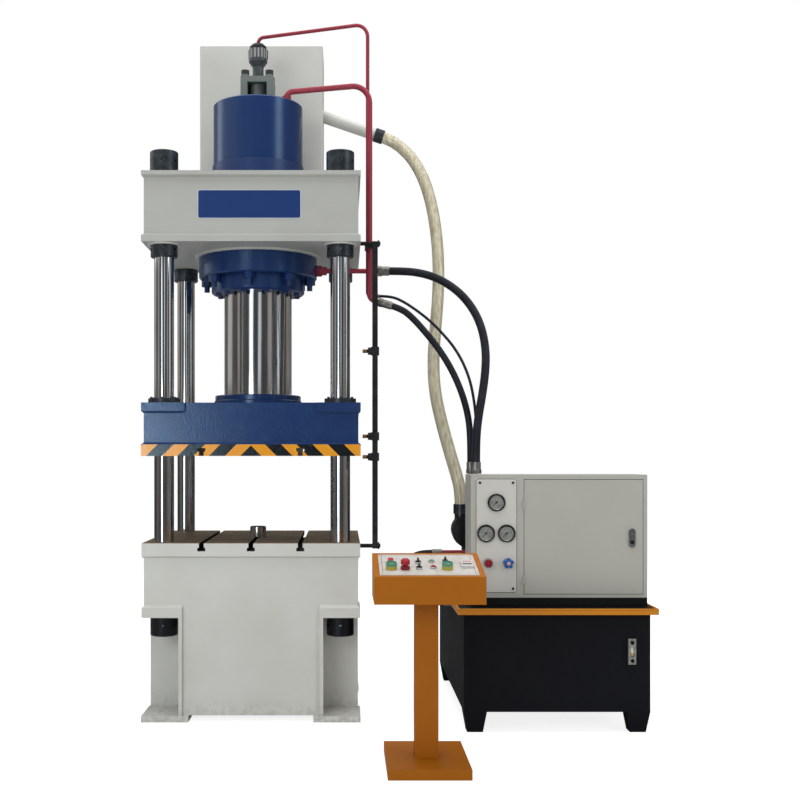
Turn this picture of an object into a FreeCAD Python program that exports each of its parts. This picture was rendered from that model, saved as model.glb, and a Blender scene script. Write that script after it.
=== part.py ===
"""Four-column hydraulic press, with its oil power unit and its control console.

Millimetres.  +X is the operator's right, +Y points to the back, +Z is up.  The origin is on the
floor, at the centre of the four anchor holes in the press's feet.
"""
import FreeCAD, Part
import math
import os
import re
import Sketcher
from FreeCAD import Placement, Rotation, Vector

doc = FreeCAD.newDocument("hydraulic_press")
sizes = doc.addObject("Spreadsheet::Sheet", "sizes")
places = doc.addObject("Spreadsheet::Sheet", "places")
sheet_of = {}
nodes = {}


# ---------------------------------------------------------------- sheets

def put(sheet, name, text):
    """Write one named cell: its name in column A, its content in column B."""
    row = 1 + sum(1 for home in sheet_of.values() if home is sheet)
    sheet.set(f"A{row}", name)
    sheet.set(f"B{row}", text)
    sheet.setAlias(f"B{row}", name)
    sheet_of[name] = sheet


def set_sizes(group):
    """Driving dimensions: plain numbers, each with a name of its own."""
    for name, size in group.items():
        put(sizes, name, str(size))


def set_places(**formulas):
    """Heights and centres worked out from the driving dimensions."""
    for name, formula in formulas.items():
        put(places, name, "=" + bound(formula))


def bound(formula):
    """The formula with each name written as sheet.name."""
    def full_name(word):
        name = word.group(0)
        return f"{sheet_of[name].Name}.{name}" if name in sheet_of else name
    return re.sub(r"[a-z][a-z_0-9]*", full_name, str(formula))


def value(formula):
    """The number that a formula comes to."""
    return float(sizes.evalExpression(bound(formula)))


def point(x, y, z):
    return Vector(value(x), value(y), value(z))


# ---------------------------------------------------------------- primitives and booleans

def block(name, x, y, z):
    """A rectangular block, each axis given as (low, high)."""
    box = doc.addObject("Part::Box", name)
    for side, axis, (low, high) in (("Length", "x", x), ("Width", "y", y), ("Height", "z", z)):
        box.setExpression(side, bound(f"({high}) - ({low})"))
        box.setExpression(f"Placement.Base.{axis}", bound(low))
    return box


def around(middle, width):
    """The (low, high) pair of a width centred on a middle."""
    return (f"{middle} - ({width}) / 2", f"{middle} + ({width}) / 2")


TURN_TO = {
    "z": Rotation(),
    "x": Rotation(Vector(0, 1, 0), 90),
    "y": Rotation(Vector(1, 0, 0), -90),
    "-x": Rotation(Vector(0, 1, 0), -90),
    "-y": Rotation(Vector(1, 0, 0), 90),
    "-z": Rotation(Vector(1, 0, 0), 180),
}


def seat(piece, at, along, roll=0):
    """Put a piece's own Z axis along an axis, with its origin at a point."""
    turn = along if isinstance(along, Rotation) else TURN_TO[along]
    piece.Placement = Placement(Vector(), turn * Rotation(Vector(0, 0, 1), roll))
    for axis, formula in zip("xyz", at):
        piece.setExpression(f"Placement.Base.{axis}", bound(formula))
    return piece


def rod(name, diameter, length, at, along="z"):
    """A round bar that starts at a point."""
    bar = doc.addObject("Part::Cylinder", name)
    bar.setExpression("Radius", bound(f"({diameter}) / 2"))
    bar.setExpression("Height", bound(length))
    return seat(bar, at, along)


def hexagon(name, across_flats, length, at, along="z"):
    """A hexagonal head or nut that starts at a point."""
    head = doc.addObject("Part::Prism", name)
    head.Polygon = 6
    head.setExpression("Circumradius", bound(f"({across_flats}) / sqrt(3)"))
    head.setExpression("Height", bound(length))
    return seat(head, at, along)


def joined(name, *pieces):
    result = doc.addObject("Part::MultiFuse", name)
    result.Shapes = list(pieces)
    return result


def cut(name, base, *tools):
    result = doc.addObject("Part::Cut", name)
    result.Base = base
    result.Tool = tools[0] if len(tools) == 1 else joined(name + "_tools", *tools)
    return result


def together(name, *pieces):
    """Separate solids kept as one group."""
    group = doc.addObject("Part::Compound", name)
    group.Links = list(pieces)
    return group


def divided(name, piece, *stretches):
    """A weldment as solids that meet face to face, one for each (x, y, z) stretch of it."""
    plates = []
    for number, stretch in enumerate(stretches, 1):
        plate = doc.addObject("Part::MultiCommon", f"{name}_plate_{number}")
        plate.Shapes = [piece, block(f"{name}_stretch_{number}", *stretch)]
        plates.append(plate)
    return together(name, *plates)


def with_twin(name, piece, normal):
    """A piece and its mirror image, as one group."""
    twin = doc.addObject("Part::Mirroring", name + "_twin")
    twin.Source = piece
    twin.Normal = normal
    return together(name, piece, twin)


def at_four_corners(name, piece):
    """A piece, repeated at the four corners of the frame."""
    pair = with_twin(name + "_pair", piece, Vector(1, 0, 0))
    return with_twin(name, pair, Vector(0, 1, 0))


def chamfered(name, base, width, wanted):
    """The base with a bevel on each edge that wanted(edge) picks."""
    doc.recompute()
    result = doc.addObject("Part::Chamfer", name)
    result.Base = base
    size = value(width)
    edges = base.Shape.Edges
    result.Edges = [(i + 1, size, size) for i, edge in enumerate(edges) if wanted(edge)]
    return result


def rounded(name, base, radius, wanted):
    """The base with a fillet on each edge that wanted(edge) picks."""
    doc.recompute()
    result = doc.addObject("Part::Fillet", name)
    result.Base = base
    size = value(radius)
    edges = base.Shape.Edges
    result.Edges = [(i + 1, size, size) for i, edge in enumerate(edges) if wanted(edge)]
    return result


def is_upright(edge):
    """True for a straight edge that runs along Z."""
    box = edge.BoundBox
    return box.XLength < 0.01 and box.YLength < 0.01 and box.ZLength > 1


# ---------------------------------------------------------------- sketched bodies

def own_plane(body, role):
    return next(plane for plane in body.Origin.OriginFeatures if plane.Role == role)


def draw(body, name, role, outline=(), circles=()):
    """A sketch on one of the body's own planes: a closed outline, and circles (x, y, diameter)."""
    sketch = body.newObject("Sketcher::SketchObject", name)
    sketch.AttachmentSupport = (own_plane(body, role), [""])
    sketch.MapMode = "FlatFace"
    corners = [Vector(value(x), value(y), 0) for x, y in outline]
    for here, after in zip(corners, corners[1:] + corners[:1]):
        sketch.addGeometry(Part.LineSegment(here, after), False)
    for i, (x, y) in enumerate(outline):
        following = (i + 1) % len(outline)
        sketch.addConstraint(Sketcher.Constraint("Coincident", i, 2, following, 1))
        tie(sketch, "DistanceX", (-1, 1, i, 1), x)
        tie(sketch, "DistanceY", (-1, 1, i, 1), y)
    for x, y, diameter in circles:
        middle = Vector(value(x), value(y), 0)
        circle = Part.Circle(middle, Vector(0, 0, 1), value(diameter) / 2)
        i = sketch.addGeometry(circle, False)
        tie(sketch, "DistanceX", (-1, 1, i, 3), x)
        tie(sketch, "DistanceY", (-1, 1, i, 3), y)
        tie(sketch, "Diameter", (i,), diameter)
    return sketch


def tie(sketch, kind, ends, formula):
    """A dimension of the sketch, bound to the sheet."""
    number = sketch.addConstraint(Sketcher.Constraint(kind, *ends, value(formula)))
    sketch.setExpression(f"Constraints[{number}]", bound(formula))


def turned(name, outline, at=("0", "0", "0"), along="z"):
    """A body turned about its own Z axis from a closed outline of (radius, height)."""
    body = doc.addObject("PartDesign::Body", name)
    sketch = draw(body, name + "_outline", "XZ_Plane", outline)
    turning = body.newObject("PartDesign::Revolution", name + "_turning")
    turning.Profile = sketch
    turning.ReferenceAxis = (sketch, ["V_Axis"])
    turning.Angle = 360
    return seat(body, at, along)


def ring_outline(inner, outer, low, high):
    """The outline of a plain ring: inner and outer diameters, low and high faces."""
    inside, outside = f"({inner}) / 2", f"({outer}) / 2"
    return ((inside, low), (outside, low), (outside, high), (inside, high))


def padded(name, outline, length, at=("0", "0", "0"), along="z", circles=(), roll=0):
    """A body pressed out of an outline, with round holes, along its own Z axis."""
    body = doc.addObject("PartDesign::Body", name)
    sketch = draw(body, name + "_outline", "XY_Plane", outline, circles)
    pad = body.newObject("PartDesign::Pad", name + "_pad")
    pad.Profile = sketch
    pad.setExpression("Length", bound(length))
    return seat(body, at, along, roll)


def drill_round_the_axis(body, name, height, diameter, count):
    """Radial holes from the body's axis outwards, evenly spaced."""
    sketch = draw(body, name + "_circle", "XZ_Plane", circles=(("0", height, diameter),))
    hole = body.newObject("PartDesign::Pocket", name)
    hole.Profile = sketch
    hole.Type = 1
    doc.recompute()
    ring = body.newObject("PartDesign::PolarPattern", name + "_ring")
    ring.Originals = [hole]
    ring.Axis = (own_plane(body, "Z_Axis"), [""])
    ring.Angle = 360
    ring.setExpression("Occurrences", bound(count))
    body.Tip = ring


# ---------------------------------------------------------------- bent pipes and hoses

def rounded_path(corners, radius_at):
    """Straight runs joined by tangent arcs.  radius_at(i, before, after) gives each radius."""
    edges, start, radii = [], corners[0], []
    for i in range(1, len(corners) - 1):
        before, here, after = corners[i - 1], corners[i], corners[i + 1]
        inward = (before - here).normalize()
        onward = (after - here).normalize()
        half_turn = (math.pi - inward.getAngle(onward)) / 2
        radius = radius_at(half_turn, (here - before).Length, (after - here).Length)
        radii.append(radius)
        reach = radius * math.tan(half_turn)
        first, last = here + inward * reach, here + onward * reach
        bisector = (inward + onward).normalize()
        middle = here + bisector * (radius / math.cos(half_turn) - radius)
        edges.append(Part.LineSegment(start, first).toShape())
        edges.append(Part.Arc(first, middle, last).toShape())
        start = last
    edges.append(Part.LineSegment(start, corners[-1]).toShape())
    return Part.Wire(edges), radii


def swept(name, path, diameter):
    """A solid round bar along a path of runs and arcs."""
    start = path.OrderedEdges[0]
    ahead = start.tangentAt(start.FirstParameter)
    circle = Part.Wire(Part.Circle(path.OrderedVertexes[0].Point, ahead, diameter / 2).toShape())
    piece = doc.addObject("Part::Feature", name)
    piece.Shape = path.makePipeShell([circle], True, False)
    return piece


def bent_pipe(name, corners, diameter, *bends):
    """A steel pipe, bent to a given radius at each inner corner."""
    left = [value(bend) for bend in bends]

    def radius_at(half_turn, before, after):
        return left.pop(0) if len(left) > 1 else left[0]
    path, radii = rounded_path([point(*corner) for corner in corners], radius_at)
    return swept(name, path, value(diameter))


def free_hose(name, corners, diameter):
    """A hose that hangs free: each arc is as large as its two runs allow."""
    def radius_at(half_turn, before, after):
        return 0.45 * min(before, after) / math.tan(half_turn)
    path, radii = rounded_path([Vector(*corner) for corner in corners], radius_at)
    thick = value(diameter)
    hose = swept(name, path, thick)
    expected = math.pi * thick ** 2 / 4 * path.Length
    print(f"{name}: length {path.Length:.0f}, least radius {min(radii):.0f}, "
          f"volume / (section x length) {hose.Shape.Volume / expected:.4f}")
    print("  radii", [round(radius) for radius in radii])
    return hose


def keep(name, piece):
    """Name a finished sub-part; the name is also its file's name."""
    piece.Label = name
    nodes[name] = piece
    return piece


# ================================================================ driving dimensions

frame_sizes = {
    "fit_gap": 0.4,
    "table_width": 1260,
    "table_depth": 1160,
    "table_height": 1030,
    "table_thickness": 75,
    "frame_width": 1240,
    "frame_depth": 1120,
    "pocket_width": 203,
    "pocket_depth": 240,
    "shelf_underside": 600,
    "shelf_thickness": 56,
    "shelf_reach": 10,
    "shelf_front_reach": 20,
    "shelf_bevel": 18,
    "foot_width": 272,
    "foot_depth": 290,
    "foot_thickness": 35,
    "foot_reach": 12,
    "foot_front_reach": 28,
    "anchor_pitch_x": 1080,
    "anchor_pitch_y": 930,
    "anchor_hole": 28,
    "column_from_side": 105,
    "column_from_front": 85,
    "column_diameter": 115,
    "column_end": 5,
    "column_bevel": 4,
}
set_sizes(frame_sizes)

slider_sizes = {
    "slot_pitch": 285,
    "slot_neck": 28,
    "slot_head": 46,
    "slot_head_height": 20,
    "slot_depth": 46,
    "daylight": 503,
    "slider_plate": 67,
    "slider_height": 309,
    "plate_reach": 13,
    "weld_bevel": 12,
    "slider_pad": 252,
    "slider_pad_height": 61,
    "slider_pad_bevel": 12,
    "wiper_diameter": 185,
    "wiper_height": 35,
    "wiper_screw_circle": 158,
    "wiper_screws": 6,
    "wiper_screw_head": 16,
    "wiper_screw_height": 9,
}
set_sizes(slider_sizes)

crown_sizes = {
    "crown_clearance": 929,
    "crown_height": 408,
    "crown_bottom_plate": 36,
    "crown_top_plate": 24,
    "lock_nut": 164,
    "lock_nut_height": 130,
    "seat_nut": 157,
    "seat_nut_height": 80,
    "base_nut": 160,
    "base_nut_height": 113,
    "nut_bevel": 5,
    "nut_hole": 14,
    "nut_holes": 6,
}
set_sizes(crown_sizes)

cylinder_sizes = {
    "barrel_diameter": 555,
    "barrel_top": 534,
    "barrel_bore": 460,
    "barrel_end": 120,
    "barrel_bevel": 8,
    "ring_nut": 568,
    "ring_nut_height": 154,
    "flange_diameter": 734,
    "flange_height": 138,
    "gland_diameter": 578,
    "gland_height": 94,
    "gland_bevel": 10,
    "ram_diameter": 420,
    "ram_engagement": 360,
    "piston_height": 100,
    "ram_flange": 543,
    "ram_flange_height": 65,
    "ram_flange_lip": 30,
    "flange_bolts": 8,
    "flange_bolt_circle": 650,
    "flange_bolt_turn": -96,
    "flange_nut": 60,
    "flange_nut_height": 38,
    "flange_stud": 34,
    "flange_stud_length": 72,
    "gland_screws": 12,
    "gland_screw_circle": 500,
    "gland_screw_head": 27,
    "gland_screw_height": 14,
}
set_sizes(cylinder_sizes)

ejector_sizes = {
    "ejector_pin": 100,
    "ejector_protrusion": 65,
    "ejector_travel_up": 135,
    "ejector_cushion": 20,
    "ejector_piston": 150,
    "ejector_piston_height": 60,
    "ejector_case": 200,
    "ejector_case_length": 420,
    "ejector_flange": 260,
    "ejector_flange_height": 40,
    "ejector_well": 280,
}
set_sizes(ejector_sizes)

prefill_sizes = {
    "yoke_width": 204,
    "yoke_depth": 200,
    "yoke_height": 168,
    "yoke_window": 120,
    "yoke_window_height": 132,
    "yoke_screw": 50,
    "yoke_screw_height": 40,
    "yoke_screw_x": 75,
    "yoke_screw_y": 70,
    "valve_body": 104,
    "valve_foot": 116,
    "valve_foot_height": 24,
    "union_neck": 69,
    "union_neck_height": 82,
    "union_head": 116,
    "union_cone_height": 32,
    "union_hexagon": 108,
    "union_hexagon_start": 134,
    "union_hexagon_height": 57,
    "union_height": 226,
    "union_cap": 104,
    "union_cap_height": 40,
    "union_cap_bevel": 16,
}
set_sizes(prefill_sizes)

filling_tank_sizes = {
    "filling_tank_width": 800,
    "filling_tank_depth": 420,
    "filling_tank_height": 1021,
    "filling_tank_front": 290,
    "filling_tank_corner": 10,
    "fill_pipe": 140,
    "fill_flange": 160,
    "fill_flange_thickness": 22,
    "overflow_pipe": 78,
    "overflow_y": 450,
    "overflow_drop": 413,
    "overflow_run": 370,
    "overflow_inset": 20,
    "overflow_slope": 19,
    "hose_band": 92,
    "hose_band_length": 60,
}
set_sizes(filling_tank_sizes)

press_pipe_sizes = {
    "main_pipe": 34,
    "main_port_x": 185,
    "main_port_y": -160,
    "main_rise": 47,
    "main_drop_gap": 57,
    "main_drop_y": -300,
    "main_elbow_drop": 297,
    "main_tail": 53,
    "main_tail_slope": 17,
    "main_port_bend": 40,
    "main_bend": 110,
    "main_elbow_bend": 45,
    "main_nut": 50,
    "main_nut_height": 20,
    "pilot_pipe": 22,
    "pilot_rise": 41,
    "pilot_drop_gap": 47,
    "pilot_drop_y": -240,
    "pilot_elbow_drop": 271,
    "pilot_tail": 35,
    "pilot_port_bend": 35,
    "pilot_bend": 80,
    "pilot_elbow_bend": 25,
    "port_drop": 81,
    "port_pipe": 30,
    "port_pipe_end": 750,
    "port_fitting": 60,
    "port_fitting_length": 33,
    "port_fitting_root": 12,
    "port_nut": 46,
    "port_nut_length": 30,
    "pipe_clamp_rim": 18,
    "pipe_clamp_height": 28,
    "clamp_drop": 18,
}
set_sizes(press_pipe_sizes)

hose_sizes = {
    "hose_nut_ratio": 1.15,
    "hose_nut_share": 0.35,
    "sleeve_wall": 4,
    "hose_end_length": 69,
    "main_end_length": 87,
    "small_end_length": 36,
    "drain_end_length": 60,
    "pressure_hose": 50,
    "return_hose": 40,
    "pilot_hose": 17,
    "drain_hose": 22,
    "clear_hose": 76,
}
set_sizes(hose_sizes)

rail_sizes = {
    "rail_gap": 88,
    "rail_y": -377,
    "rail_width": 32,
    "rail_foot_drop": 45,
    "rail_head_rise": 34,
    "rail_rod": 24,
    "rail_rod_end": 16,
    "rail_nut": 36,
    "rail_nut_height": 10,
    "upper_rod_inset": 12,
    "lower_rod_inset": 16,
    "switch_gap": 14,
    "switch_diameter": 22,
    "switch_nut": 44,
    "switch_nut_length": 18,
    "switch_clip_wall": 8,
    "switch_clip_height": 48,
    "upper_switch_rise": 1125,
    "middle_switch_rise": 620,
    "lower_switch_rise": 498,
}
set_sizes(rail_sizes)

oil_tank_sizes = {
    "unit_left": 1200,
    "unit_front": -839,
    "unit_width": 1032,
    "unit_depth": 1600,
    "unit_foot_height": 116,
    "unit_foot_top": 128,
    "unit_foot_bottom": 88,
    "unit_tank_height": 543,
    "lid_side_reach": 36,
    "lid_end_reach": 45,
    "lid_plate": 26,
    "lid_lip": 8,
    "lid_lip_wall": 10,
    "level_gauge_right": 105,
    "level_gauge_width": 43,
    "level_slot_width": 19,
    "level_gauge_bottom": 382,
    "level_gauge_height": 142,
    "level_gauge_depth": 22,
    "level_bolt": 19,
    "level_bolt_height": 8,
}
set_sizes(oil_tank_sizes)

cabinet_sizes = {
    "sheet": 3,
    "cabinet_inset_x": 54,
    "cabinet_inset_y": 133,
    "cabinet_width": 996,
    "cabinet_depth": 300,
    "cabinet_height": 694,
    "cabinet_rail": 48,
    "cabinet_rail_width": 40,
    "panel_inset": 26,
    "panel_rise": 27,
    "panel_width": 235,
    "panel_height": 646,
    "panel_screw": 14,
    "panel_screw_height": 5,
    "panel_screw_in": 24,
    "gauge_case": 88,
    "gauge_bezel": 100,
    "gauge_bezel_height": 14,
    "gauge_bezel_bevel": 2,
    "gauge_window": 90,
    "gauge_depth": 45,
    "gauge_dial_level": 4,
    "glass_gap": 0.3,
    "glass_thickness": 2,
    "glass_level": 10,
    "gauge_top_x": 117,
    "gauge_left_x": 58,
    "gauge_right_x": 174,
    "gauge_top_z": 510,
    "gauge_low_z": 336,
    "needle_hub": 12,
    "needle_hub_height": 4,
    "needle_length": 36,
    "needle_tail": 12,
    "needle_width": 5,
    "needle_tip": 1.5,
    "needle_thickness": 1.5,
    "needle_zero": 225,
}
set_sizes(cabinet_sizes)

knob_and_door_sizes = {
    "relief_x": 69,
    "handwheel_x": 181,
    "knob_z": 169,
    "valve_stem": 14,
    "collar_diameter": 56,
    "collar_height": 12,
    "knob_start": 20,
    "knob_diameter": 46,
    "knob_height": 26,
    "knob_bevel": 4,
    "knob_flutes": 8,
    "knob_flute": 7,
    "stem_inside": 60,
    "star_hub": 34,
    "star_lobe": 22,
    "star_lobes": 5,
    "star_reach": 20,
    "lobe_height": 18.2,
    "door_inset": 301,
    "door_rise": 21,
    "door_width": 670,
    "door_height": 645,
    "door_depth": 18,
    "door_gap": 3,
    "hinge_offset": 4,
    "hinge_barrel": 12,
    "hinge_pin": 6,
    "hinge_length": 20,
    "hinge_head": 3,
    "hinge_leaf": 18,
    "hinge_leaf_thickness": 4,
    "hinge_upper": 486,
    "hinge_lower": 60,
    "lock_x": 608,
    "lock_z": 316,
    "lock_width": 37,
    "lock_height": 107,
    "lock_depth": 10,
    "lock_button": 22,
    "lock_button_drop": 24,
    "lock_travel": 4,
}
set_sizes(knob_and_door_sizes)

valve_and_filter_sizes = {
    "block_inset": 85,
    "block_width": 315,
    "block_depth": 180,
    "block_setback": 299,
    "block_height": 415,
    "valve_first": 60,
    "valve_pitch": 75,
    "valve_width": 56,
    "valve_length": 70,
    "valve_height": 60,
    "coil_diameter": 46,
    "coil_length": 60,
    "filter_x": 1300,
    "filter_y": -100,
    "filter_height": 392,
    "filter_diameter": 190,
    "filter_length": 200,
    "filter_cap": 210,
    "filter_cap_length": 30,
    "filter_spigot_x": 1258,
    "filter_spigot_rise": 130,
    "filter_stand": 76,
    "filter_foot": 140,
    "filter_foot_height": 16,
}
set_sizes(valve_and_filter_sizes)

motor_sizes = {
    "motor_inset": 550,
    "motor_setback": 899,
    "motor_rise": 265,
    "motor_length": 640,
    "motor_core": 410,
    "motor_diameter": 450,
    "motor_fin_length": 480,
    "motor_fins": 11,
    "motor_fin": 6,
    "motor_fin_pitch": 28,
    "motor_shield": 30,
    "motor_cowl": 120,
    "motor_cowl_bevel": 30,
    "terminal_box_width": 180,
    "terminal_box_length": 200,
    "terminal_box_start": 60,
    "terminal_box_height": 60,
    "terminal_box_seat": 10,
    "motor_foot_inside": 110,
    "motor_foot_width": 70,
    "motor_foot_drop": 150,
    "bell_length": 140,
    "bell_wide": 350,
    "bell_narrow": 220,
    "bell_flange": 16,
    "pump_flange": 200,
    "pump_flange_length": 24,
    "pump_diameter": 180,
    "pump_length": 250,
    "pump_bevel": 20,
    "pump_port": 125,
}
set_sizes(motor_sizes)

unit_pipe_sizes = {
    "pressure_riser_x": 1323,
    "pressure_riser_y": -350,
    "return_riser_x": 1300,
    "return_riser_y": -262,
    "pilot_riser_x": 1332,
    "pilot_riser_y": -290,
    "riser_rise": 743,
    "pressure_leg_rise": 265,
    "return_leg_rise": 165,
    "pilot_leg_rise": 215,
    "return_pipe": 28,
    "small_pipe": 14,
    "riser_bend": 45,
    "small_bend": 30,
    "drain_pipe": 18,
    "drain_x": 1400,
    "drain_y": -230,
    "drain_rise": 269,
    "drain_end": 1130,
    "drain_return_drop": 21,
    "pressure_line": 34,
    "pressure_line_rise": 495,
    "pressure_line_x": 285,
    "pressure_line_bend": 60,
    "suction_line": 60,
}
set_sizes(unit_pipe_sizes)

console_sizes = {
    "console_x": 943,
    "console_width": 530,
    "console_depth": 394,
    "console_front": -1786,
    "console_bottom": 831,
    "console_edge_height": 962,
    "console_slope": 11.5,
    "console_base_width": 400,
    "console_base_depth": 560,
    "console_base_front": -1780,
    "console_base_height": 50,
    "console_post": 115,
    "console_post_y": -1500,
    "console_margin_side": 28,
    "console_margin_front": 24,
    "console_margin_back": 38,
    "console_plate": 3,
}
set_sizes(console_sizes)

control_sizes = {
    "two_hand_left": 179,
    "two_hand_right": 91,
    "two_hand_along": 120,
    "two_hand_button": 42,
    "two_hand_guard": 54,
    "two_hand_guard_height": 34,
    "two_hand_height": 28,
    "two_hand_bevel": 6,
    "button_travel": 4,
    "button_clearance": 1,
    "button_bevel": 2,
    "stop_x": 112,
    "stop_along": 118,
    "stop_stem": 22,
    "stop_collar": 46,
    "stop_collar_height": 14,
    "stop_head": 44,
    "stop_head_start": 24,
    "stop_height": 50,
    "small_collar": 32,
    "small_collar_height": 9,
    "press_button": 22,
    "press_button_height": 14,
    "green_x": 22,
    "green_along": 230,
    "red_x": 24,
    "red_along": 133,
    "lamp_diameter": 28,
    "lamp_collar": 8,
    "lamp_height": 24,
    "lamp_bevel": 7,
    "selector_right_x": 90,
    "selector_left_x": 45,
    "selector_far": 230,
    "selector_middle": 213,
    "selector_near": 120,
    "selector_stem": 12,
    "selector_knob": 28,
    "selector_disc": 3,
    "selector_grip": 9,
    "selector_grip_height": 13,
    "counter_x": 190,
    "counter_along": 177,
    "counter_width": 58,
    "counter_length": 96,
    "counter_height": 15,
}
set_sizes(control_sizes)

set_places(
    table_underside="table_height - table_thickness",
    shelf_top="shelf_underside + shelf_thickness",
    column_x="frame_width / 2 - column_from_side",
    column_y="frame_depth / 2 - column_from_front",
    plate_width="frame_width + 2 * plate_reach",
    slider_bottom="table_height + daylight",
    slider_plate_top="slider_bottom + slider_plate",
    slider_top="slider_bottom + slider_height",
    crown_bottom="slider_top + crown_clearance",
    crown_top="crown_bottom + crown_height",
    lock_nut_top="crown_top + lock_nut_height",
    barrel_head="crown_top + barrel_top",
    flange_underside="crown_bottom - flange_height",
    gland_underside="flange_underside - gland_height",
    ram_head="gland_underside + ram_engagement + piston_height",
    column_foot="shelf_underside - base_nut_height - column_end",
    pin_top="table_height + ejector_protrusion",
    ejector_piston_top=("table_underside - ejector_flange_height - ejector_travel_up"
                        " - ejector_cushion"),
)
set_places(
    yoke_top="barrel_head + yoke_height",
    union_top="yoke_top + union_height",
    filling_tank_top="crown_top + filling_tank_height",
    fill_height="barrel_head + yoke_height / 2",
    overflow_height="filling_tank_top - overflow_drop",
    main_drop_x="plate_width / 2 + main_drop_gap",
    main_elbow_z="crown_bottom - main_elbow_drop",
    pilot_drop_x="plate_width / 2 + pilot_drop_gap",
    pilot_elbow_z="crown_bottom - pilot_elbow_drop",
    port_height="crown_bottom - port_drop",
    clamp_height="crown_bottom + clamp_drop",
    rail_x="plate_width / 2 + rail_gap",
    rail_bottom="table_height - rail_foot_drop",
    rail_top="crown_bottom + rail_head_rise",
    upper_rod_height="rail_top - upper_rod_inset",
    lower_rod_height="rail_bottom + lower_rod_inset",
    upper_switch_height="table_height + upper_switch_rise",
    middle_switch_height="table_height + middle_switch_rise",
    lower_switch_height="table_height + lower_switch_rise",
)
set_places(
    unit_x="unit_left + unit_width / 2",
    unit_y="unit_front + unit_depth / 2",
    unit_top="unit_foot_height + unit_tank_height",
    lid_top="unit_top + lid_plate",
    level_gauge_x="unit_left + unit_width - level_gauge_right",
    cabinet_left="unit_left + cabinet_inset_x",
    cabinet_front="unit_front + cabinet_inset_y",
    cabinet_bottom="lid_top + cabinet_rail",
    cabinet_top="cabinet_bottom + cabinet_height",
    panel_left="cabinet_left + panel_inset",
    panel_bottom="cabinet_bottom + panel_rise",
    door_left="cabinet_left + door_inset",
    door_bottom="cabinet_bottom + door_rise",
    hinge_x="door_left - hinge_offset",
    hinge_y="cabinet_front - hinge_barrel / 2 - fit_gap",
    block_left="unit_left + block_inset",
    block_y="unit_front + block_setback",
    block_top="lid_top + block_height",
    block_back="block_y + block_depth / 2",
    filter_spigot_top="lid_top + filter_height + filter_spigot_rise",
    motor_x="unit_left + motor_inset",
    motor_front="unit_front + motor_setback",
    shaft_height="lid_top + motor_rise",
    riser_top="lid_top + riser_rise",
    pressure_leg="lid_top + pressure_leg_rise",
    return_leg="lid_top + return_leg_rise",
    pilot_leg="lid_top + pilot_leg_rise",
    drain_height="lid_top + drain_rise",
    drain_return_height="unit_top - drain_return_drop",
    pressure_line_height="lid_top + pressure_line_rise",
)
doc.recompute()


# ================================================================ press frame

def corner_block(name, x, y, z):
    """A block repeated at the four corners of the frame."""
    return at_four_corners(name, block(name + "_corner", x, y, z))


def t_slot(name, x, low, head_up):
    """The hollow of one T-slot that runs from front to back."""
    length = around("0", "table_depth + 2")
    if head_up:
        neck = (f"{low} - 1", f"{low} + slot_depth - slot_head_height + 0.5")
        head = (f"{low} + slot_depth - slot_head_height", f"{low} + slot_depth")
    else:
        neck = (f"{low} - slot_depth + slot_head_height - 0.5", f"{low} + 1")
        head = (f"{low} - slot_depth", f"{low} - slot_depth + slot_head_height")
    narrow = block(name + "_neck", around(x, "slot_neck"), length, neck)
    wide = block(name + "_head", around(x, "slot_head"), length, head)
    return joined(name, narrow, wide)


def column_holes(name, low, high):
    """Four clearance holes for the columns."""
    hole = rod(name + "_hole", "column_diameter + 2 * fit_gap", f"({high}) - ({low})",
               ("column_x", "column_y", low))
    return at_four_corners(name, hole)


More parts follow.
